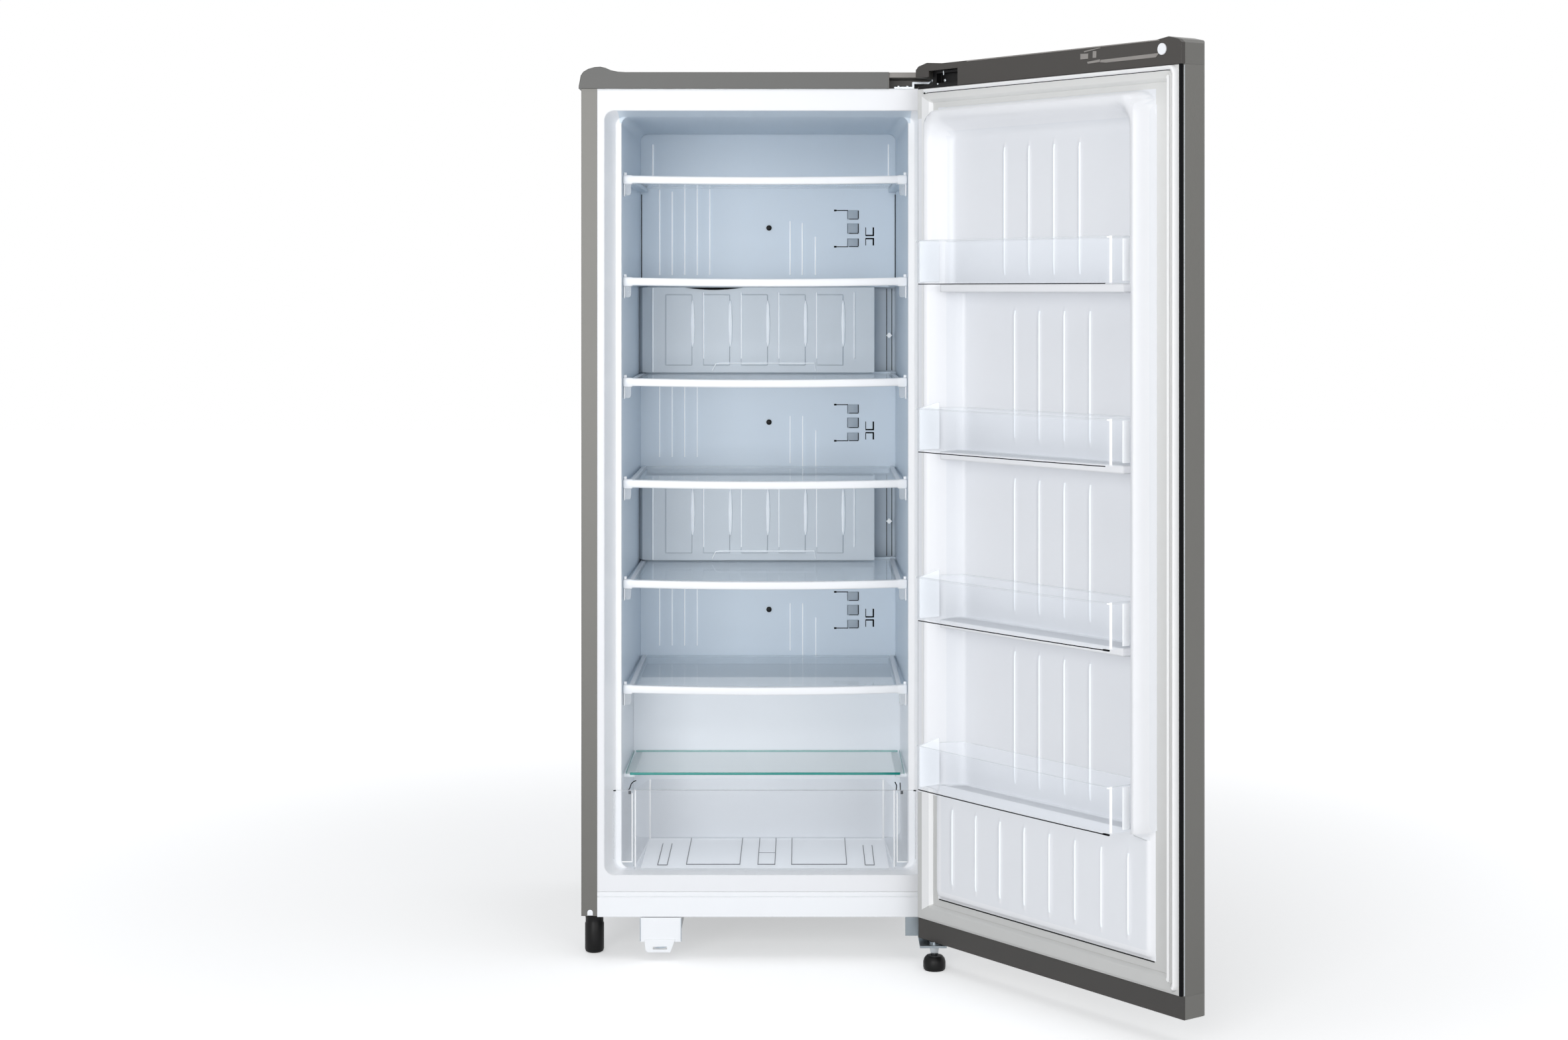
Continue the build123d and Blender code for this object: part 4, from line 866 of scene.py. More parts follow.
class FREEZER_OT_drawer(bpy.types.Operator):
    """Clear bottom drawer with its rim, ribs and floor panels"""
    bl_idname = "freezer.drawer"
    bl_label = "Drawer"

    def execute(self, context):
        low, high = span("drawer")
        wall = sizes().basket_wall / MM
        face = low.y + DRAWER_FRONT
        floor = low.z + DRAWER_FLOOR
        top_back = high.z - DRAWER_BACK_DROP
        drawer = Mould()
        outline = rounded_rectangle(low.x, high.x, low.z, high.z + 14, 14, 6)
        drawer.prism([(x, min(z, high.z)) for x, z in outline], low.y, face, edge=1.0)
        for side in (-1, 1):
            ends = ((side * DRAWER_FRONT_HALF, side * (DRAWER_FRONT_HALF - wall), face, high.z - 1),
                    (side * DRAWER_BACK_HALF, side * (DRAWER_BACK_HALF - wall), high.y, top_back))
            drawer.skin([[(outer, y, low.z + 1), (inner, y, low.z + 1), (inner, y, top), (outer, y, top)]
                         for outer, inner, y, top in ends])
            drawer.block((side * 208, side * 193.4), (face, face + 9), (low.z + 12, high.z - 1.5), 1.0)
        drawer.block((-DRAWER_BACK_HALF + wall, DRAWER_BACK_HALF - wall), (high.y - wall, high.y),
                     (low.z + 1, top_back), 0.8)
        drawer.block((-DRAWER_BACK_HALF, DRAWER_BACK_HALF), (face, high.y - wall), (floor - wall, floor), 0.6)
        # Clear walls and frosted floor both carry a painted glow.
        drawer.finish("drawer_clear", clear_san, "drawer", "clear_plastic", ("drawer",),
                      others=(frosted_san_painted_glow,),
                      pick=lambda spot: int(spot.z < floor + 0.1 and spot.y > face + 1))
        self.add_edge_painted_highlights(low, high, face, top_back)
        self.add_painted_shade_marks(high, low.y, face)
        self.add_groove_painted_shade(floor, face)
        return {"FINISHED"}

    def add_edge_painted_highlights(self, low, high, face, top_back):
        """Painted highlights on the edges of the clear walls, and the greyer rim."""
        bright = Mould()
        rim = Mould()
        rim.block((low.x + 1, high.x - 1), (low.y - 0.1, face), (high.z - 0.8, high.z + 0.2), 0.3)
        for side in (-1, 1):
            bright.block((side * (DRAWER_BACK_HALF - 3), side * DRAWER_BACK_HALF), (high.y - 3, high.y + 0.2),
                         (low.z + 2, top_back + 0.3), 1.0)
            bright.block((side * (DRAWER_FRONT_HALF - 3), side * (DRAWER_FRONT_HALF - 1)), (face, face + 3),
                         (low.z + 4, high.z), 0.6)
            bright.block((side * 192.6, side * 194), (low.y - 0.2, low.y + 1), (low.z + 13, high.z - 4), 0.4)
            bright.block((side * 193, side * 208), (low.y - 0.2, low.y + 1), (low.z + 11.6, low.z + 13), 0.4)
            rim.block((side * (high.x - 1.4), side * (high.x + 0.1)), (low.y - 0.1, low.y + 1.2),
                      (low.z + 16, high.z), 0.4)
            rim.block((side * DRAWER_FRONT_HALF, side * (DRAWER_FRONT_HALF + 1.2)), (face, face + 1.5),
                      (low.z + 5, high.z - 1), 0.4)
        bright.finish("drawer_edges_painted_highlight", san_painted_highlight, "drawer", "clear_plastic")
        rim.finish("drawer_rim", hazy_san, "drawer", "clear_plastic")

    def add_painted_shade_marks(self, high, front, face):
        """Painted shade: dark marks in the creases at the corners of the front plate and over its ends."""
        marks = Mould()
        for x in (-197.0, 200.0):
            marks.block(about(x, 2), (face, face + 1), (high.z - 6.5, high.z - 1.5), 0.4)
        for side in (-1, 1):
            marks.block((side * (high.x - 3.6), side * (high.x + 0.2)), (front - 0.2, front + 1),
                        (high.z - 1.4, high.z + 0.3), 0.4)
        creases = (([(-199, 2, -1), (-197, 2, 2), (-195, 3, 8), (-192, 4, 11), (-188, 5, 12.6)], 0.7),
                   ([(192, 2, -1), (192.5, 2, 6), (190, 3, 11)], 0.8),
                   ([(198, 2, -1), (197.5, 2, 10)], 0.7))
        for points, radius in creases:
            marks.tube([(x, face + behind, high.z + above) for x, behind, above in points], radius, 8)
        marks.finish("drawer_marks_painted_shade", painted_shadow_black, "drawer", "clear_plastic")

    def add_groove_painted_shade(self, floor, face):
        """Painted shade in the thin grooves round the panels and slots of the drawer's floor."""
        grooves = Mould()
        near = face + 24
        far = near + 182
        panels = [(-115.5, -37, near, far), (-10.5, 14.5, near, far), (39, 120, near, far),
                  (-157.5, -143.5, near - 4, far - 40), (147, 160.5, near - 4, far - 52)]
        for x0, x1, y0, y1 in panels:
            for x in (x0, x1):
                grooves.block(about(x, 0.55), (y0, y1), (floor - 0.2, floor + 0.9), 0.2)
            grooves.block((x0, x1), about(y0, 1.4), (floor - 0.2, floor + 0.8), 0.2)
        grooves.block((-10.5, 14.5), about(near + 80, 1), (floor - 0.2, floor + 0.3), 0.2)
        grooves.finish("drawer_grooves_painted_shade", painted_shadow_black, "drawer", "clear_plastic")


class FREEZER_OT_drip_tray(bpy.types.Operator):
    """Finish the pull-out drip tray"""
    bl_idname = "freezer.drip_tray"
    bl_label = "Drip tray"

    def execute(self, context):
        dress(moulded_white, "drip_tray")
        low, high = span("drip_tray")
        # Painted shade lines at the tray's ends and in its grip, in the shaded duct colour.
        shade = Mould()
        for x in (low.x + 0.5, high.x - 0.5):
            shade.block(about(x, 0.45), (low.y - 0.4, low.y + 0.6), (low.z + 16, high.z - 0.5), 0.2)
        grip = [(-160.3, 6.8), (-156, 6.2), (-148, 6.4), (-143, 7.2), (-141, 8.4), (-148, 8.3), (-156, 7.7)]
        shade.prism([(x, low.z + rise) for x, rise in grip], low.y - 1.2, low.y + 0.6, edge=0.2)
        shade.finish("drip_tray_slot_painted_shade", shaded_duct, "drip_tray", "pan_plastic")
        return {"FINISHED"}


class FREEZER_OT_feet(bpy.types.Operator):
    """Turned feet with soft edges"""
    bl_idname = "freezer.feet"
    bl_label = "Feet"

    def execute(self, context):
        dress(black_pp, "rear_feet")
        left_top = span("left_foot")[1].z
        right_top = span("right_foot")[1].z
        turned = (
            ("left_foot_turned", "left_foot", black_pp, "black_plastic", ("left_foot",), 48,
             [(0.01, 0), (10.5, 0), (13, 1.6), (14, 5), (14, 42), (13.1, 44), (13.1, 50), (13.5, 52),
              (13.5, left_top), (0.01, left_top)]),
            ("right_foot_dome", "right_foot", black_pp, "black_plastic", ("right_foot",), 48,
             [(0.01, 0), (14, 0), (15.4, 1.5), (16, 5), (16, 12), (14.5, 17), (11.5, 20.3), (6.5, 20.8),
              (0.01, 20.8)]),
            ("right_foot_stud", "right_foot", zinc_plated_steel, "galvanised", (), 36,
             [(0.01, 16), (2.5, 16.5), (5, 20), (6.2, 28), (6.9, 36), (7.4, right_top), (0.01, right_top)]),
        )
        for name, foot, maker, slot, stands_for, sides, profile in turned:
            low, high = span(foot)
            middle = (low + high) / 2
            Mould().lathe(profile, (middle.x, middle.y, 0), sides).finish(name, maker, foot, slot, stands_for)
        return {"FINISHED"}


class FREEZER_OT_bay(bpy.types.Operator):
    """Compressor, condenser and the rest of the machine space"""
    bl_idname = "freezer.bay"
    bl_label = "Compressor bay"

    def execute(self, context):
        dress(black_enamel, "compressor", "condenser")
        dress(black_rubber, "compressor_mounts")
        dress(black_pp, "control_box", "power_inlet")
        dress(moulded_duct, "evaporating_pan", "drain_tube")
        dress(fin_aluminium, "evaporator")
        dress(galvanised_steel, "fan_motor")
        dress(moulded_white, "fan_blade")
        return {"FINISHED"}


# ---------------------------------------------------------------- the door liner's form
def smooth(share):
    """Soft step from 0 to 1."""
    share = min(max(share, 0.0), 1.0)
    return share * share * (3 - 2 * share)


def inside_by(q, z, q0, q1, z0, z1, radius):
    """How far a place lies inside a rounded rectangle; below zero outside it."""
    away_q = abs(q - (q0 + q1) / 2) - (q1 - q0) / 2 + radius
    away_z = abs(z - (z0 + z1) / 2) - (z1 - z0) / 2 + radius
    outside = math.hypot(max(away_q, 0), max(away_z, 0))
    return radius - outside - min(max(away_q, away_z), 0)


def raised(value, low, high, share):
    """The higher of a value and a soft step from low to high."""
    return max(value, low + (high - low) * smooth(share))


# Heights _H over the inside of the door's metal, places _Z above the floor, the rest from the door's edges.
FLANGE_H = 3.0
DYKE_H = 36.8               # raised border
PANEL_H = -16.0             # recessed panels behind the baskets
UPPER_PANEL_H = 2.8         # shallower panel over the top basket
PLATEAU_H = 11.5            # flat field under the lowest basket
LEDGE_H = 28.0              # ledges under the baskets
CAP_FACE = 5.0              # inner face of the top cap
DYKE_BASE = 46.0
DYKE_TOP_Z = 1229.0
DYKE_LOW_Z = 252.0
PLATEAU_LOW_Z = 107.0
RECESS_SIDE = 59.0
RECESS_TOP_Z = 1214.0
PLATEAU_SLOPE, DYKE_SLOPE, RECESS_SLOPE, LEDGE_SLOPE = 9.0, 8.0, 27.0, 5.0      # widths of their walls
PLATEAU_CORNER, DYKE_CORNER, RECESS_CORNER = 12.0, 30.0, 34.0                   # radii of their corners
PLATEAU_OVERRUN = 40.0      # how far the plateau's outline runs on under the raised border
RECESS_OVERRUN = 60.0       # how far the recess's outline runs on below the lowest basket
LEDGE_END = 77.0
LEDGE_HEIGHT = 11.5
PANEL_RISE = 9.0            # how far up the recess wall the panels' painted shade runs
EDGE_FOLD = 2.5             # how far under the panels the liner's edge is turned in
SEAT_GAP = 0.3              # between a basket and its ledge
LINER_MARGIN = 2.2          # from the door's edges to the liner's
COARSE_Q, COARSE_Z = 4.4, 7.0       # mesh steps on flat runs
FINE_Q, FINE_Z = 1.5, 1.0           # and at edges and ribs
END_SHADOW = 6.5               # painted shadow on the flange next to the metal at the handle side
RIB_OFFSETS = (-75, -25, 25, 75)
RIB_TOP_Z = 1172.0
RIB_RISE = 2.0
RIB_HALF = 3.0              # half a rib's width
RIB_TAPER = 12.0            # length over which its ends fade
LOW_RIB_Z = (130.0, 243.0)
LOW_RIB_EDGE = 89.2
LOW_RIB_COUNT = 8


def ribs_of(baskets):
    """Raised ribs of the door liner: (q, low, high) for each."""
    seats = [bottom - SEAT_GAP for bottom in baskets]
    spans = [(baskets[0] + 12, RIB_TOP_Z)]
    spans += [(low + 16, high - LEDGE_HEIGHT - 22) for low, high in zip(seats[1:], seats)]
    ribs = [(DOOR_WIDTH / 2 + offset, low, high) for low, high in spans for offset in RIB_OFFSETS]
    pitch = (DOOR_WIDTH - 2 * LOW_RIB_EDGE) / (LOW_RIB_COUNT - 1)
    return ribs + [(LOW_RIB_EDGE + pitch * number, *LOW_RIB_Z) for number in range(LOW_RIB_COUNT)]


def door_height(q, z, baskets, ribs):
    """Height of the door liner's face over the inside of the door's metal."""
    far = DOOR_WIDTH - DYKE_BASE
    plateau = inside_by(q, z, DYKE_BASE, far, PLATEAU_LOW_Z, DYKE_LOW_Z + PLATEAU_OVERRUN, PLATEAU_CORNER)
    height = raised(FLANGE_H, FLANGE_H, PLATEAU_H, plateau / PLATEAU_SLOPE)
    dyke = inside_by(q, z, DYKE_BASE, far, DYKE_LOW_Z, DYKE_TOP_Z, DYKE_CORNER)
    height = raised(height, FLANGE_H, DYKE_H, dyke / DYKE_SLOPE)
    lowest = baskets[-1] - SEAT_GAP
    if z < lowest + 1 and RECESS_SIDE < q < DOOR_WIDTH - RECESS_SIDE:
        height = min(height, PLATEAU_H)
    if z >= lowest:
        reach = inside_by(q, z, RECESS_SIDE, DOOR_WIDTH - RECESS_SIDE, lowest - RECESS_OVERRUN,
                          RECESS_TOP_Z, RECESS_CORNER)
        if reach > 0:
            panel = UPPER_PANEL_H if z > baskets[0] - LEDGE_HEIGHT / 2 else PANEL_H
            height = DYKE_H + (panel - DYKE_H) * smooth(reach / RECESS_SLOPE)
    for seat in (bottom - SEAT_GAP for bottom in baskets[:-1]):
        if seat - LEDGE_HEIGHT <= z <= seat and LEDGE_END < q < DOOR_WIDTH - LEDGE_END:
            edge = min(q - LEDGE_END, DOOR_WIDTH - LEDGE_END - q)
            height = raised(height, height, LEDGE_H, edge / LEDGE_SLOPE)
    for middle, low, high in ribs:
        if low < z < high and abs(q - middle) < RIB_HALF:
            taper = smooth(min(z - low, high - z) / RIB_TAPER)
            height += RIB_RISE * taper * math.cos(math.pi * (q - middle) / (2 * RIB_HALF))
    return height


def lines_between(low, high, coarse, marks, fine):
    """Sorted places from low to high: coarse ones, and finer ones round the marks."""
    places = [low + (high - low) * n / round((high - low) / coarse)
              for n in range(round((high - low) / coarse) + 1)]
    for mark, reach in marks:
        count = round(reach / fine)
        places = [place for place in places if abs(place - mark) > reach + fine / 2
                  or place in (low, high)]
        places += [mark + fine * n for n in range(-count, count + 1)
                   if low < mark + fine * n < high]
    places = sorted(places)
    return [place for index, place in enumerate(places)
            if index == 0 or place - places[index - 1] > 0.3]


# ---------------------------------------------------------------- door pieces
class FREEZER_OT_door(bpy.types.Operator):
    """Finish the door's metal, caps and liner"""
    bl_idname = "freezer.door"
    bl_label = "Door"

    def execute(self, context):
        dress(painted_steel, "door_outer_panel")
        dress(moulded_abs_dark, "door_top_cap", "door_bottom_cap")
        dress(moulded_white, "cap_plug", "hinge_bushes")
        self.add_liner()
        self.add_cap_relief_painted_light()
        return {"FINISHED"}

    def add_cap_relief_painted_light(self):
        """Painted highlight along the bevel, and paler painted-light patches on the shallow recesses and
        clips, on the inner face of the top cap: q, and depth from its top.
        """
        top = span("door_top_cap")[1].z
        strips = [
            [(112, 4.4), (300, 4.4), (490.6, 4.2), (490.6, 3.0), (300, 3.0), (112, 3.0)],
            [(381.2, 24.4), (382.1, 21.3), (490.1, 20.1), (483.9, 25.3), (392.3, 25.6)],
            [(343.4, 18.0), (343.4, 10.6), (358.4, 11.1), (358.0, 18.1)],
            [(367.0, 17.6), (367.3, 8.8), (374.0, 9.0), (373.6, 17.8)],
            [(350.9, 9.1), (350.2, 7.5), (380.0, 4.8), (382.5, 5.6)],
            [(357.6, 24.8), (356.5, 22.1), (380.8, 20.4), (380.8, 23.9)],
        ]
        relief = Mould()
        for strip in strips:
            relief.prism([(door_x(q), top - drop) for q, drop in strip], door_y(CAP_FACE - 0.4),
                         door_y(CAP_FACE + 0.5), edge=0.15)
        relief.finish("top_cap_relief_painted_light", moulded_abs_painted_light, "door", "cap_dark")

    def add_liner(self):
        """Vacuum formed liner: raised border, recess, ledges, plateau and ribs in one sheet."""
        baskets = [span("door_basket_%d" % number)[0].z for number in range(1, 5)]
        low, high = span("door_outer_panel")
        ribs = ribs_of(baskets)
        q_marks = [(place, 3.0) for place in (DYKE_BASE + 3, DOOR_WIDTH - DYKE_BASE - 3)]
        q_marks += [(place, RIB_HALF) for place in sorted({rib[0] for rib in ribs})]
        z_marks = [(place, 2.0) for bottom in baskets
                   for place in (bottom - 0.8, bottom - 0.8 - LEDGE_HEIGHT)]
        z_marks += [(DYKE_TOP_Z - 4, 4.0), (PLATEAU_LOW_Z + 4, 4.0), (DYKE_LOW_Z + 4, 4.0)]
        qs = lines_between(LINER_MARGIN, DOOR_WIDTH - LINER_MARGIN, COARSE_Q, q_marks, FINE_Q)
        zs = lines_between(low.z + 0.4, high.z - 0.4, COARSE_Z, z_marks, FINE_Z)
        base = door_y(PANEL_H - EDGE_FOLD)
        liner = Mould().skin([[(door_x(qs[0]), base, z)]
                              + [(door_x(q), door_y(door_height(q, z, baskets, ribs)), z) for q in qs]
                              + [(door_x(qs[-1]), base, z)] for z in zs])
        # The flange and panels take painted shade, the end gap painted shadow, and the rib crests painted
        # highlights.
        liner.finish("door_liner_formed", vacuum_formed_white, "door", "liner_white",
                     ("door_liner", "door_foam"), 50.0,
                     (vacuum_formed_flange_painted_shade, vacuum_formed_panel_painted_shade, painted_shadow_black, rib_painted_highlight),
                     lambda spot: self.zone(spot, baskets[-1], ribs))
        # Painted shadow line along the foot of the plateau.
        seam = Mould().block((door_x(50), door_x(480)), (door_y(FLANGE_H - 0.5), door_y(FLANGE_H + 0.9)),
                             (PLATEAU_LOW_Z - 1.6, PLATEAU_LOW_Z - 0.2), 0.3)
        seam.finish("door_liner_seam_painted_shadow", painted_shadow_black, "door", "liner_white")
        # Painted highlight: a bright zinc strip along the door metal's folded edge at the handle side.
        fold = Mould().block((door_x(DOOR_WIDTH - 1.3), door_x(DOOR_WIDTH + 0.1)),
                             (door_y(-1.4), door_y(0.3)), (low.z + 1, high.z - 1), 0.5)
        fold.finish("door_metal_fold_painted_highlight", zinc_plated_steel, "door", "shell_grey")

    def zone(self, spot, lowest, ribs):
        """0 for the white borders, 1 for the flange's painted shade, 2 for the panels' painted shade, 3 for
        the painted shadow in the end gap, 4 for painted highlights on rib crests.
        """
        q = HALF - spot.x
        h = spot.y - METAL_PLANE
        on_edge = min(q, DOOR_WIDTH - q) < DYKE_BASE + 1 or not PLATEAU_LOW_Z < spot.z < DYKE_TOP_Z
        if h < FLANGE_H + 0.4 and on_edge:
            if q < DYKE_BASE and DYKE_LOW_Z < spot.z < RECESS_TOP_Z:
                return 0
            return 3 if q > DOOR_WIDTH - END_SHADOW else 1
        for middle, low, high in ribs:
            if abs(q - middle) < 2.0 and low < spot.z < high:
                return 4 if abs(q - middle) < 1.2 and low + 3 < spot.z < high - 3 else 0
        if spot.z > lowest:
            return 2 if h < UPPER_PANEL_H + PANEL_RISE else 0
        flat = h > PLATEAU_H - 1 and RECESS_SIDE + 4 < q < DOOR_WIDTH - RECESS_SIDE + 10
        return 2 if flat and spot.z > PLATEAU_LOW_Z + 14 else 0


SEAL_CORNER = 10.0          # outer radius of the seal's corners
SEAL_FLAT = 8.0             # height of the runs that show no folds
SEAL_WIDTH = 20.0


class FREEZER_OT_seal(bpy.types.Operator):
    """Magnetic door seal with its folds"""
    bl_idname = "freezer.seal"
    bl_label = "Door seal"

    def execute(self, context):
        outer = (17.0, DOOR_WIDTH - 7.0, 76.0, SHELL_TOP - 5.0)     # q, q, z, z of its outer edges
        section = [(0, 3), (0, 8.6), (0.8, 10.8), (2.4, 11.7), (4.2, 10.9), (5.4, 8.6), (6.4, 8.6),
                   (6.8, 9.4), (9.2, 9.4), (9.3, 8.4), (10.0, 8.4), (10.4, 10.6), (12.4, 11.2),
                   (14.4, 10.4), (15.2, 8.0), (16, 7.6), (19.6, 3.5), (20, 3)]
        rings = []
        for inset, h in section:
            loop = rounded_rectangle(outer[0] + inset, outer[1] - inset, outer[2] + inset,
                                     outer[3] - inset, SEAL_CORNER - 0.45 * inset)
            rings.append([(door_x(q), door_y(self.rise(inset, h, q, z, outer)), z) for q, z in loop])
        # Flat runs take a painted-shade grey, the folds painted shadow; the lips keep the seal's white.
        Mould().skin(rings, closed=True).finish(
            "door_gasket_folded", extruded_seal_painted_shade, "door", "gasket_grey", ("door_gasket",),
            others=(extruded_seal, painted_shadow_black), pick=lambda spot: self.zone(HALF - spot.x, spot.z, outer))
        return {"FINISHED"}

    def rise(self, inset, h, q, z, outer):
        """Height of the seal's face: full folds at the handle side, one lip above, flat elsewhere."""
        handle = outer[1] - q < min(outer[3] - z, z - outer[2]) + 0.1
        above = outer[3] - z < min(outer[1] - q, q - outer[0])
        if handle or above and inset < 6 or h < SEAL_FLAT:
            return h
        return SEAL_FLAT

    def zone(self, q, z, outer):
        """0 for the flat seal in painted shade, 1 for its white lips, 2 for painted shadow in its folds; the
        lower run has no lips.
        """
        handle = outer[1] - q
        upper = outer[3] - z
        inset = min(handle, upper)
        if q - outer[0] < SEAL_WIDTH and DYKE_LOW_Z < z < RECESS_TOP_Z:
            return 1
        if min(q - outer[0], z - outer[2]) < min(inset, SEAL_WIDTH) or inset > SEAL_WIDTH:
            return 0
        if 5.2 < inset < 6.5 or handle < upper and 9.2 < inset < 10.1:
            return 2
        return int(inset < 5.2 or handle < upper and 10.1 < inset < 15.3)


class FREEZER_OT_hinges(bpy.types.Operator):
    """Finish the hinge brackets, pins and screws"""
    bl_idname = "freezer.hinges"
    bl_label = "Hinges"

    def execute(self, context):
        dress(dull_dark_zinc_steel, "lower_hinge_bracket")
        dress(zinc_plated_steel, "top_hinge_bracket", "hinge_pins", "screws")
        dress(black_pp, "hinge_insert")
        # Painted highlights on the black insert: small bright zinc studs and a sliver where it catches the
        # light.
        painted_glints = Mould()
        for q, z, radius in ((62.0, 1267.1, 2.1), (46.0, 1263.0, 1.5)):
            painted_glints.lathe([(0.01, -1.2), (radius, -1.2), (radius, 0.2), (0.6 * radius, 0.8), (0.01, 0.8)],
                        (door_x(q), door_y(2.6), z), 18, "Y")
        painted_glints.block((door_x(58.2), door_x(60.2)), (door_y(1.6), door_y(3.4)), (1274.7, 1281.0), 0.4)
        painted_glints.finish("hinge_insert_painted_glints", zinc_plated_steel, "door", "galvanised")
        return {"FINISHED"}


BASKET_END = 72.0           # q of a basket's ends, from either edge of the door
BASKET_DEPTH = 62.0         # h of its front wall, which bows out further at its middle
BASKET_BOW = 3.0
BASKET_LEAN = 9.0           # how far its hinge end leans out at the front
BASKET_TURN = 16.0          # h at which its ends turn in to the back wall
BASKET_BACK = -12.0         # h of its back wall
UPPER_BASKET_BACK = 5.5     # and of the top one's, before its shallower panel


class FREEZER_OT_baskets(bpy.types.Operator):
    """Clear door baskets with rounded corners and end clips"""
    bl_idname = "freezer.baskets"
    bl_label = "Door baskets"

    def execute(self, context):
        for number in range(1, 5):
            self.add_basket(number)
        return {"FINISHED"}

    def loop(self, inset, upper):
        """Plan loop of a basket; the upper one stops short of its shallower panel."""
        q0 = BASKET_END + inset
        q1 = DOOR_WIDTH - q0
        h = BASKET_DEPTH - inset
        back = inset + (UPPER_BASKET_BACK if upper else BASKET_BACK)
        corners = [(q0 - BASKET_LEAN, h, 9), (q0, BASKET_TURN, 4), (q0 + 14, back, 6), (q1 - 14, back, 6),
                   (q1, BASKET_TURN, 4), (q1, h, 9)]
        for share in (part / 8 for part in range(1, 8)):
            q = q1 + (q0 - BASKET_LEAN - q1) * share
            corners.append((q, h + BASKET_BOW * (1 - (2 * share - 1) ** 2), 0))
        return [(door_x(q), door_y(y)) for q, y in rounded_loop(corners)]

    def add_basket(self, number):
        """One clear basket with a painted highlight on its handle-side corner, its end tab, its painted
        highlight strip, and the painted shadow under its front wall.
        """
        node = "door_basket_%d" % number
        body = "basket_%d" % number
        low, high = span(node)
        wall = sizes().basket_wall / MM
        rings = [(wall, low.z), (0.8, low.z + 2), (0.8, high.z - 3.4), (0, high.z - 2.6),
                 (0, high.z - 0.6), (0.6, high.z), (wall, high.z), (wall + 0.3, high.z - 0.8),
                 (wall, low.z + wall)]
        basket = Mould().skin([[(x, y, z) for x, y in self.loop(inset, number == 1)]
                               for inset, z in rings])
        corner_x = door_x(DOOR_WIDTH - BASKET_END - 4)
        corner_y = door_y(BASKET_DEPTH - 7)
        # The handle-side front corner takes the painted highlight; the rim the thicker SAN.
        basket.finish("basket_clear_%d" % number, clear_san, body, "clear_plastic", (node,),
                      others=(san_painted_highlight, hazy_san),
                      pick=lambda spot: 1 if spot.x < corner_x and spot.y > corner_y
                      else 2 if spot.z > high.z - 1.6 else 0)
        self.add_ends(number, body, low.z, high.z)
        self.add_seam_painted_shadow(number, body, low.z)

    def add_ends(self, number, body, low, high):
        """Raised end walls that hold the basket; the top one's stays level with the rim."""
        rise = 8.0 if number > 1 else 0.0
        front, rear = 60.0, 25.0
        outline = [(front, low + 3), (front, high - 0.5), (rear + 12, high - 0.5 + 0.7 * rise),
                   (rear, high - 0.5 + rise), (rear, low + 3)]
        tabs = Mould()
        tabs.prism([(door_y(h), z) for h, z in outline], door_x(74.8), door_x(76.4), "YZ", 0.3)
        # The tab's SAN carries a painted glow.
        tabs.finish("basket_tab_%d" % number, frosted_san_painted_glow, body, "clear_plastic")
        # Painted highlight: a bright strip on the handle-side end wall.
        far = DOOR_WIDTH - BASKET_END
        strip = Mould().block((door_x(far - 5), door_x(far - 2.6)), (door_y(23), door_y(35)),
                              (low + 3, high - 3), 0.8)
        strip.finish("basket_strip_%d" % number, san_painted_highlight, body, "clear_plastic")

    def add_seam_painted_shadow(self, number, body, low):
        """Painted shadow under the front wall, and the clip at its handle end."""
        start = BASKET_END - BASKET_LEAN
        far = DOOR_WIDTH - BASKET_END
        rings = []
        for share in (step / 24 for step in range(25)):
            q = start + 12 + (far - 20 - start) * share
            bow = BASKET_BOW * (1 - (2 * (q - start) / (far - start) - 1) ** 2)
            near = door_y(BASKET_DEPTH + 0.2 + bow)
            rings.append([(door_x(q), y, z) for y, z in ((near - 1, low - 0.9), (near, low - 0.9),
                                                         (near, low + 0.3), (near - 1, low + 0.3))])
        seam = Mould().skin(rings)
        if number > 2:
            seam.block((door_x(far - 12), door_x(far - 1)),
                       (door_y(BASKET_DEPTH - 2), door_y(BASKET_DEPTH + 1)), (low - 1.2, low + 1.0), 0.5)
        seam.finish("basket_seam_%d" % number, painted_shadow_black, body, "clear_plastic")


# ---------------------------------------------------------------- stage
IMAGE_WIDTH = 2363          # pixels of the whole frame
FOCAL_PX = 3902.4
SHIFT_PX = (-28.5, -345.3)
EYE = Vector((0.0557, FRONT * MM - 3.7469, 0.9691))     # where the camera stands, in metres
GLOW_NEAR, GLOW_FAR = 0.7, 2.6      # metres from the middle over which the floor grows whiter
AIM = Vector((0.1, -0.1, 0.7))      # what the lamps point at
WORLD_LEVEL = 0.43
LAMPS = (("lamp_left", (-1.0, -4.4, 1.3), 2.2, 71),     # name, place, width in metres, power in watts
         ("lamp_right", (1.9, -4.3, 1.3), 1.8, 26),
         ("lamp_top", (0.0, -0.6, 3.6), 2.6, 26))


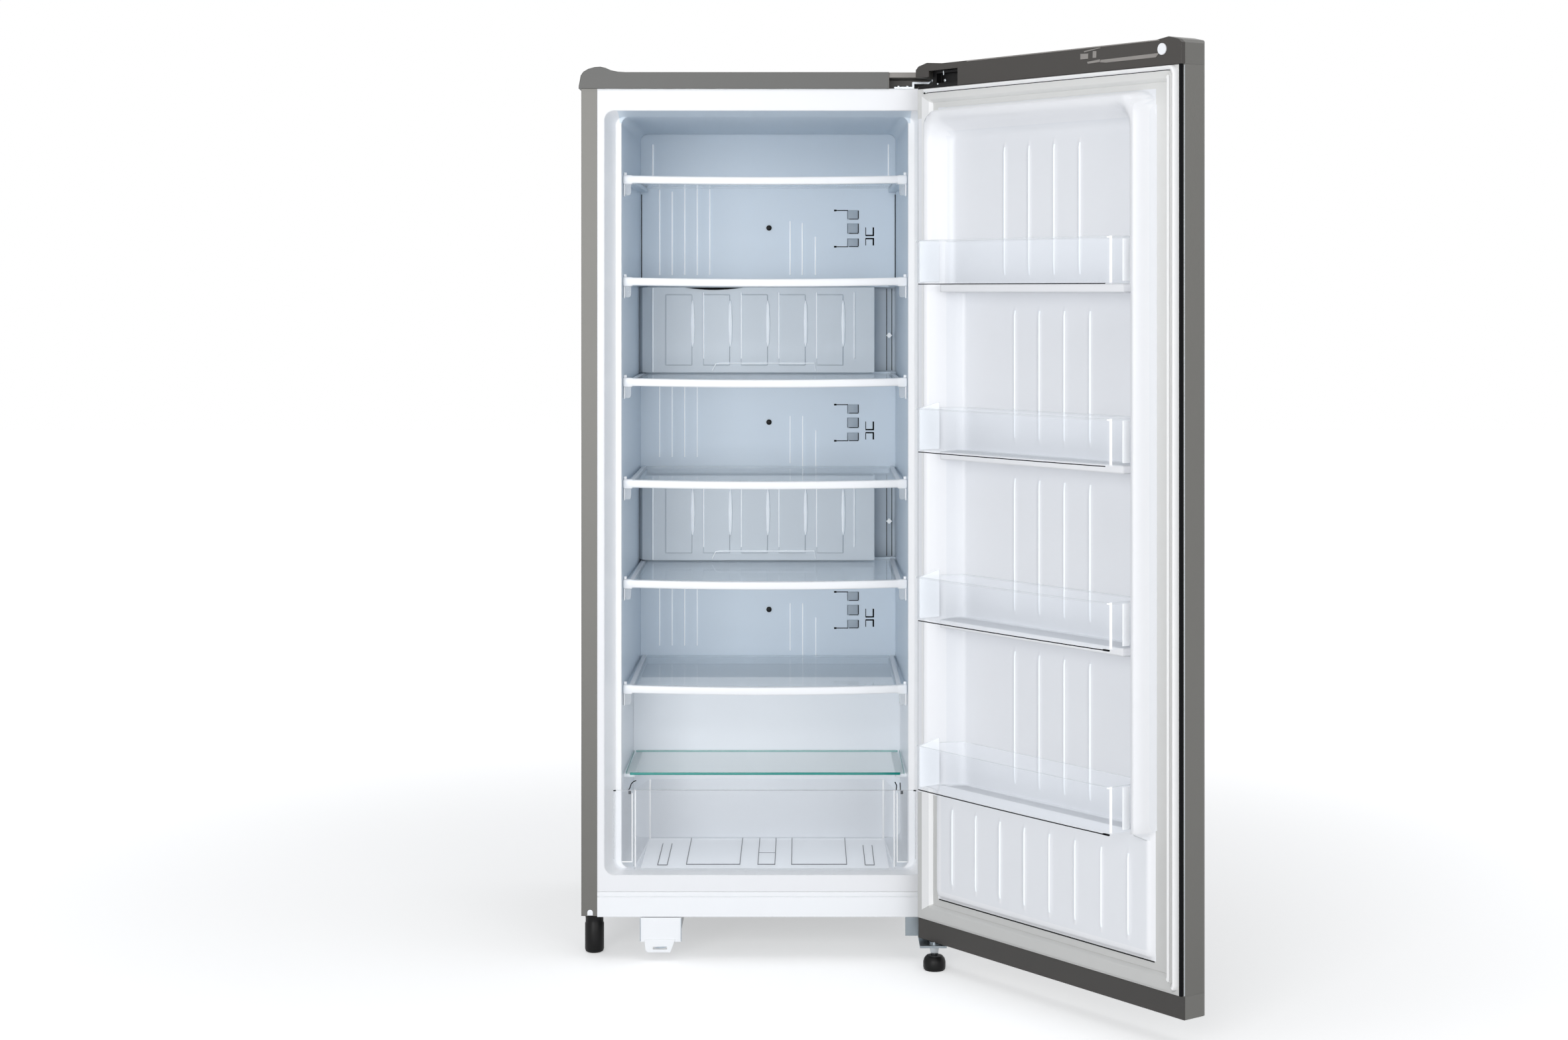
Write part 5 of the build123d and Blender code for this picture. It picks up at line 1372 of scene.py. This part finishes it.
class FREEZER_OT_stage(bpy.types.Operator):
    """Pale floor, soft lamps, white surround and the camera"""
    bl_idname = "freezer.stage"
    bl_label = "Stage"

    def execute(self, context):
        scene = context.scene
        scene.view_settings.view_transform = "Standard"
        self.add_camera(scene)
        self.add_floor()
        self.add_world(scene)
        self.add_lamps()
        return {"FINISHED"}

    def add_camera(self, scene):
        """Camera level with the middle of the door, its frame shifted down and to the left."""
        data = bpy.data.cameras.new("camera")
        data.sensor_width = 36.0
        data.lens = data.sensor_width * FOCAL_PX / IMAGE_WIDTH
        data.shift_x, data.shift_y = (shift / IMAGE_WIDTH for shift in SHIFT_PX)
        data.dof.use_dof = False
        camera = bpy.data.objects.new("camera", data)
        camera.location = EYE
        camera.rotation_euler = (math.radians(90), 0, 0)
        bpy.context.collection.objects.link(camera)
        scene.camera = camera

    def camera_share(self, tree):
        """1 for rays that the eye follows: from the camera, off gloss or through glass."""
        path = add_node(tree, "ShaderNodeLightPath")
        gloss = add_node(tree, "ShaderNodeMath", {"operation": "MAXIMUM"},
                         {0: path.outputs["Is Glossy Ray"], 1: path.outputs["Is Transmission Ray"]})
        both = add_node(tree, "ShaderNodeMath", {"operation": "MAXIMUM"},
                        {0: path.outputs["Is Camera Ray"], 1: gloss.outputs["Value"]})
        return both.outputs["Value"]

    def add_floor(self):
        """Wide pale floor that glows faintly to the eye, so that it reads white but keeps shadow."""
        mesh = bpy.data.meshes.new("floor")
        reach = 14.0
        corners = [(-reach, -reach, 0), (reach, -reach, 0), (reach, reach, 0), (-reach, reach, 0)]
        mesh.from_pydata(corners, [], [(0, 1, 2, 3)])
        material = bpy.data.materials.new("matt_studio_floor")
        material.use_nodes = True
        tree = material.node_tree
        shader = tree.nodes["Principled BSDF"]
        shader.inputs["Base Color"].default_value = (0.86, 0.86, 0.86, 1)
        shader.inputs["Roughness"].default_value = 0.9
        shader.inputs["Specular IOR Level"].default_value = 0.1
        shader.inputs["Emission Color"].default_value = (1, 1, 1, 1)
        place = add_node(tree, "ShaderNodeTexCoord").outputs["Object"]
        away = add_node(tree, "ShaderNodeVectorMath", {"operation": "LENGTH"}, {0: place})
        fade = add_node(tree, "ShaderNodeMapRange",
                        {"interpolation_type": "SMOOTHSTEP", "From Min": GLOW_NEAR, "From Max": GLOW_FAR,
                         "To Min": 0.4, "To Max": 0.75}, {"Value": away.outputs["Value"]})
        glow = add_node(tree, "ShaderNodeMath", {"operation": "MULTIPLY"},
                        {0: self.camera_share(tree), 1: fade.outputs["Result"]})
        tree.links.new(glow.outputs["Value"], shader.inputs["Emission Strength"])
        mesh.materials.append(material)
        floor = bpy.data.objects.new("floor", mesh)
        bpy.context.collection.objects.link(floor)

    def add_world(self, scene):
        """Cool even light on the object; the eye sees plain white instead."""
        world = bpy.data.worlds.new("studio")
        world.use_nodes = True
        scene.world = world
        tree = world.node_tree
        cool = tree.nodes["Background"]
        cool.inputs["Color"].default_value = (0.93, 0.96, 1.0, 1)
        cool.inputs["Strength"].default_value = WORLD_LEVEL * sizes().lamp_level
        white = add_node(tree, "ShaderNodeBackground", {"Color": (1, 1, 1, 1), "Strength": 1.0})
        mix = add_node(tree, "ShaderNodeMixShader", links={
            0: self.camera_share(tree), 1: cool.outputs["Background"], 2: white.outputs["Background"]})
        tree.links.new(mix.outputs["Shader"], tree.nodes["World Output"].inputs["Surface"])

    def add_lamps(self):
        """Soft boxes: a strong one at the front left, one at the front right, one overhead."""
        for name, place, width, power in LAMPS:
            data = bpy.data.lights.new(name, "AREA")
            data.size = width
            data.energy = power * sizes().lamp_level
            lamp = bpy.data.objects.new(name, data)
            lamp.location = place
            lamp.rotation_euler = (AIM - Vector(place)).to_track_quat("-Z", "Y").to_euler()
            bpy.context.collection.objects.link(lamp)


# ---------------------------------------------------------------- sidebar and registration
STEPS = (FREEZER_OT_stage, FREEZER_OT_shell, FREEZER_OT_chamber, FREEZER_OT_shelves,
         FREEZER_OT_drawer, FREEZER_OT_drip_tray, FREEZER_OT_feet, FREEZER_OT_bay, FREEZER_OT_door,
         FREEZER_OT_seal, FREEZER_OT_hinges, FREEZER_OT_baskets)


class FREEZER_PT_panel(bpy.types.Panel):
    """Sidebar list of the freezer's pieces"""
    bl_idname = "FREEZER_PT_panel"
    bl_label = "Upright freezer"
    bl_space_type = "VIEW_3D"
    bl_region_type = "UI"
    bl_category = "Freezer"

    def draw(self, context):
        for group in (context.scene.freezer_sizes, context.scene.freezer_colours):
            for name in group.__annotations__:
                self.layout.prop(group, name)
        for step in STEPS:
            self.layout.operator(step.bl_idname)


CLASSES = (FreezerSizes, FreezerColours, *STEPS, FREEZER_PT_panel)


def register():
    for kind in CLASSES:
        bpy.utils.register_class(kind)
    bpy.types.Scene.freezer_sizes = PointerProperty(type=FreezerSizes)
    bpy.types.Scene.freezer_colours = PointerProperty(type=FreezerColours)


def unregister():
    del bpy.types.Scene.freezer_colours
    del bpy.types.Scene.freezer_sizes
    for kind in reversed(CLASSES):
        bpy.utils.unregister_class(kind)


def main():
    register()
    for step in STEPS:
        group, name = step.bl_idname.split(".")
        getattr(getattr(bpy.ops, group), name)()


if __name__ == "__main__":
    main()
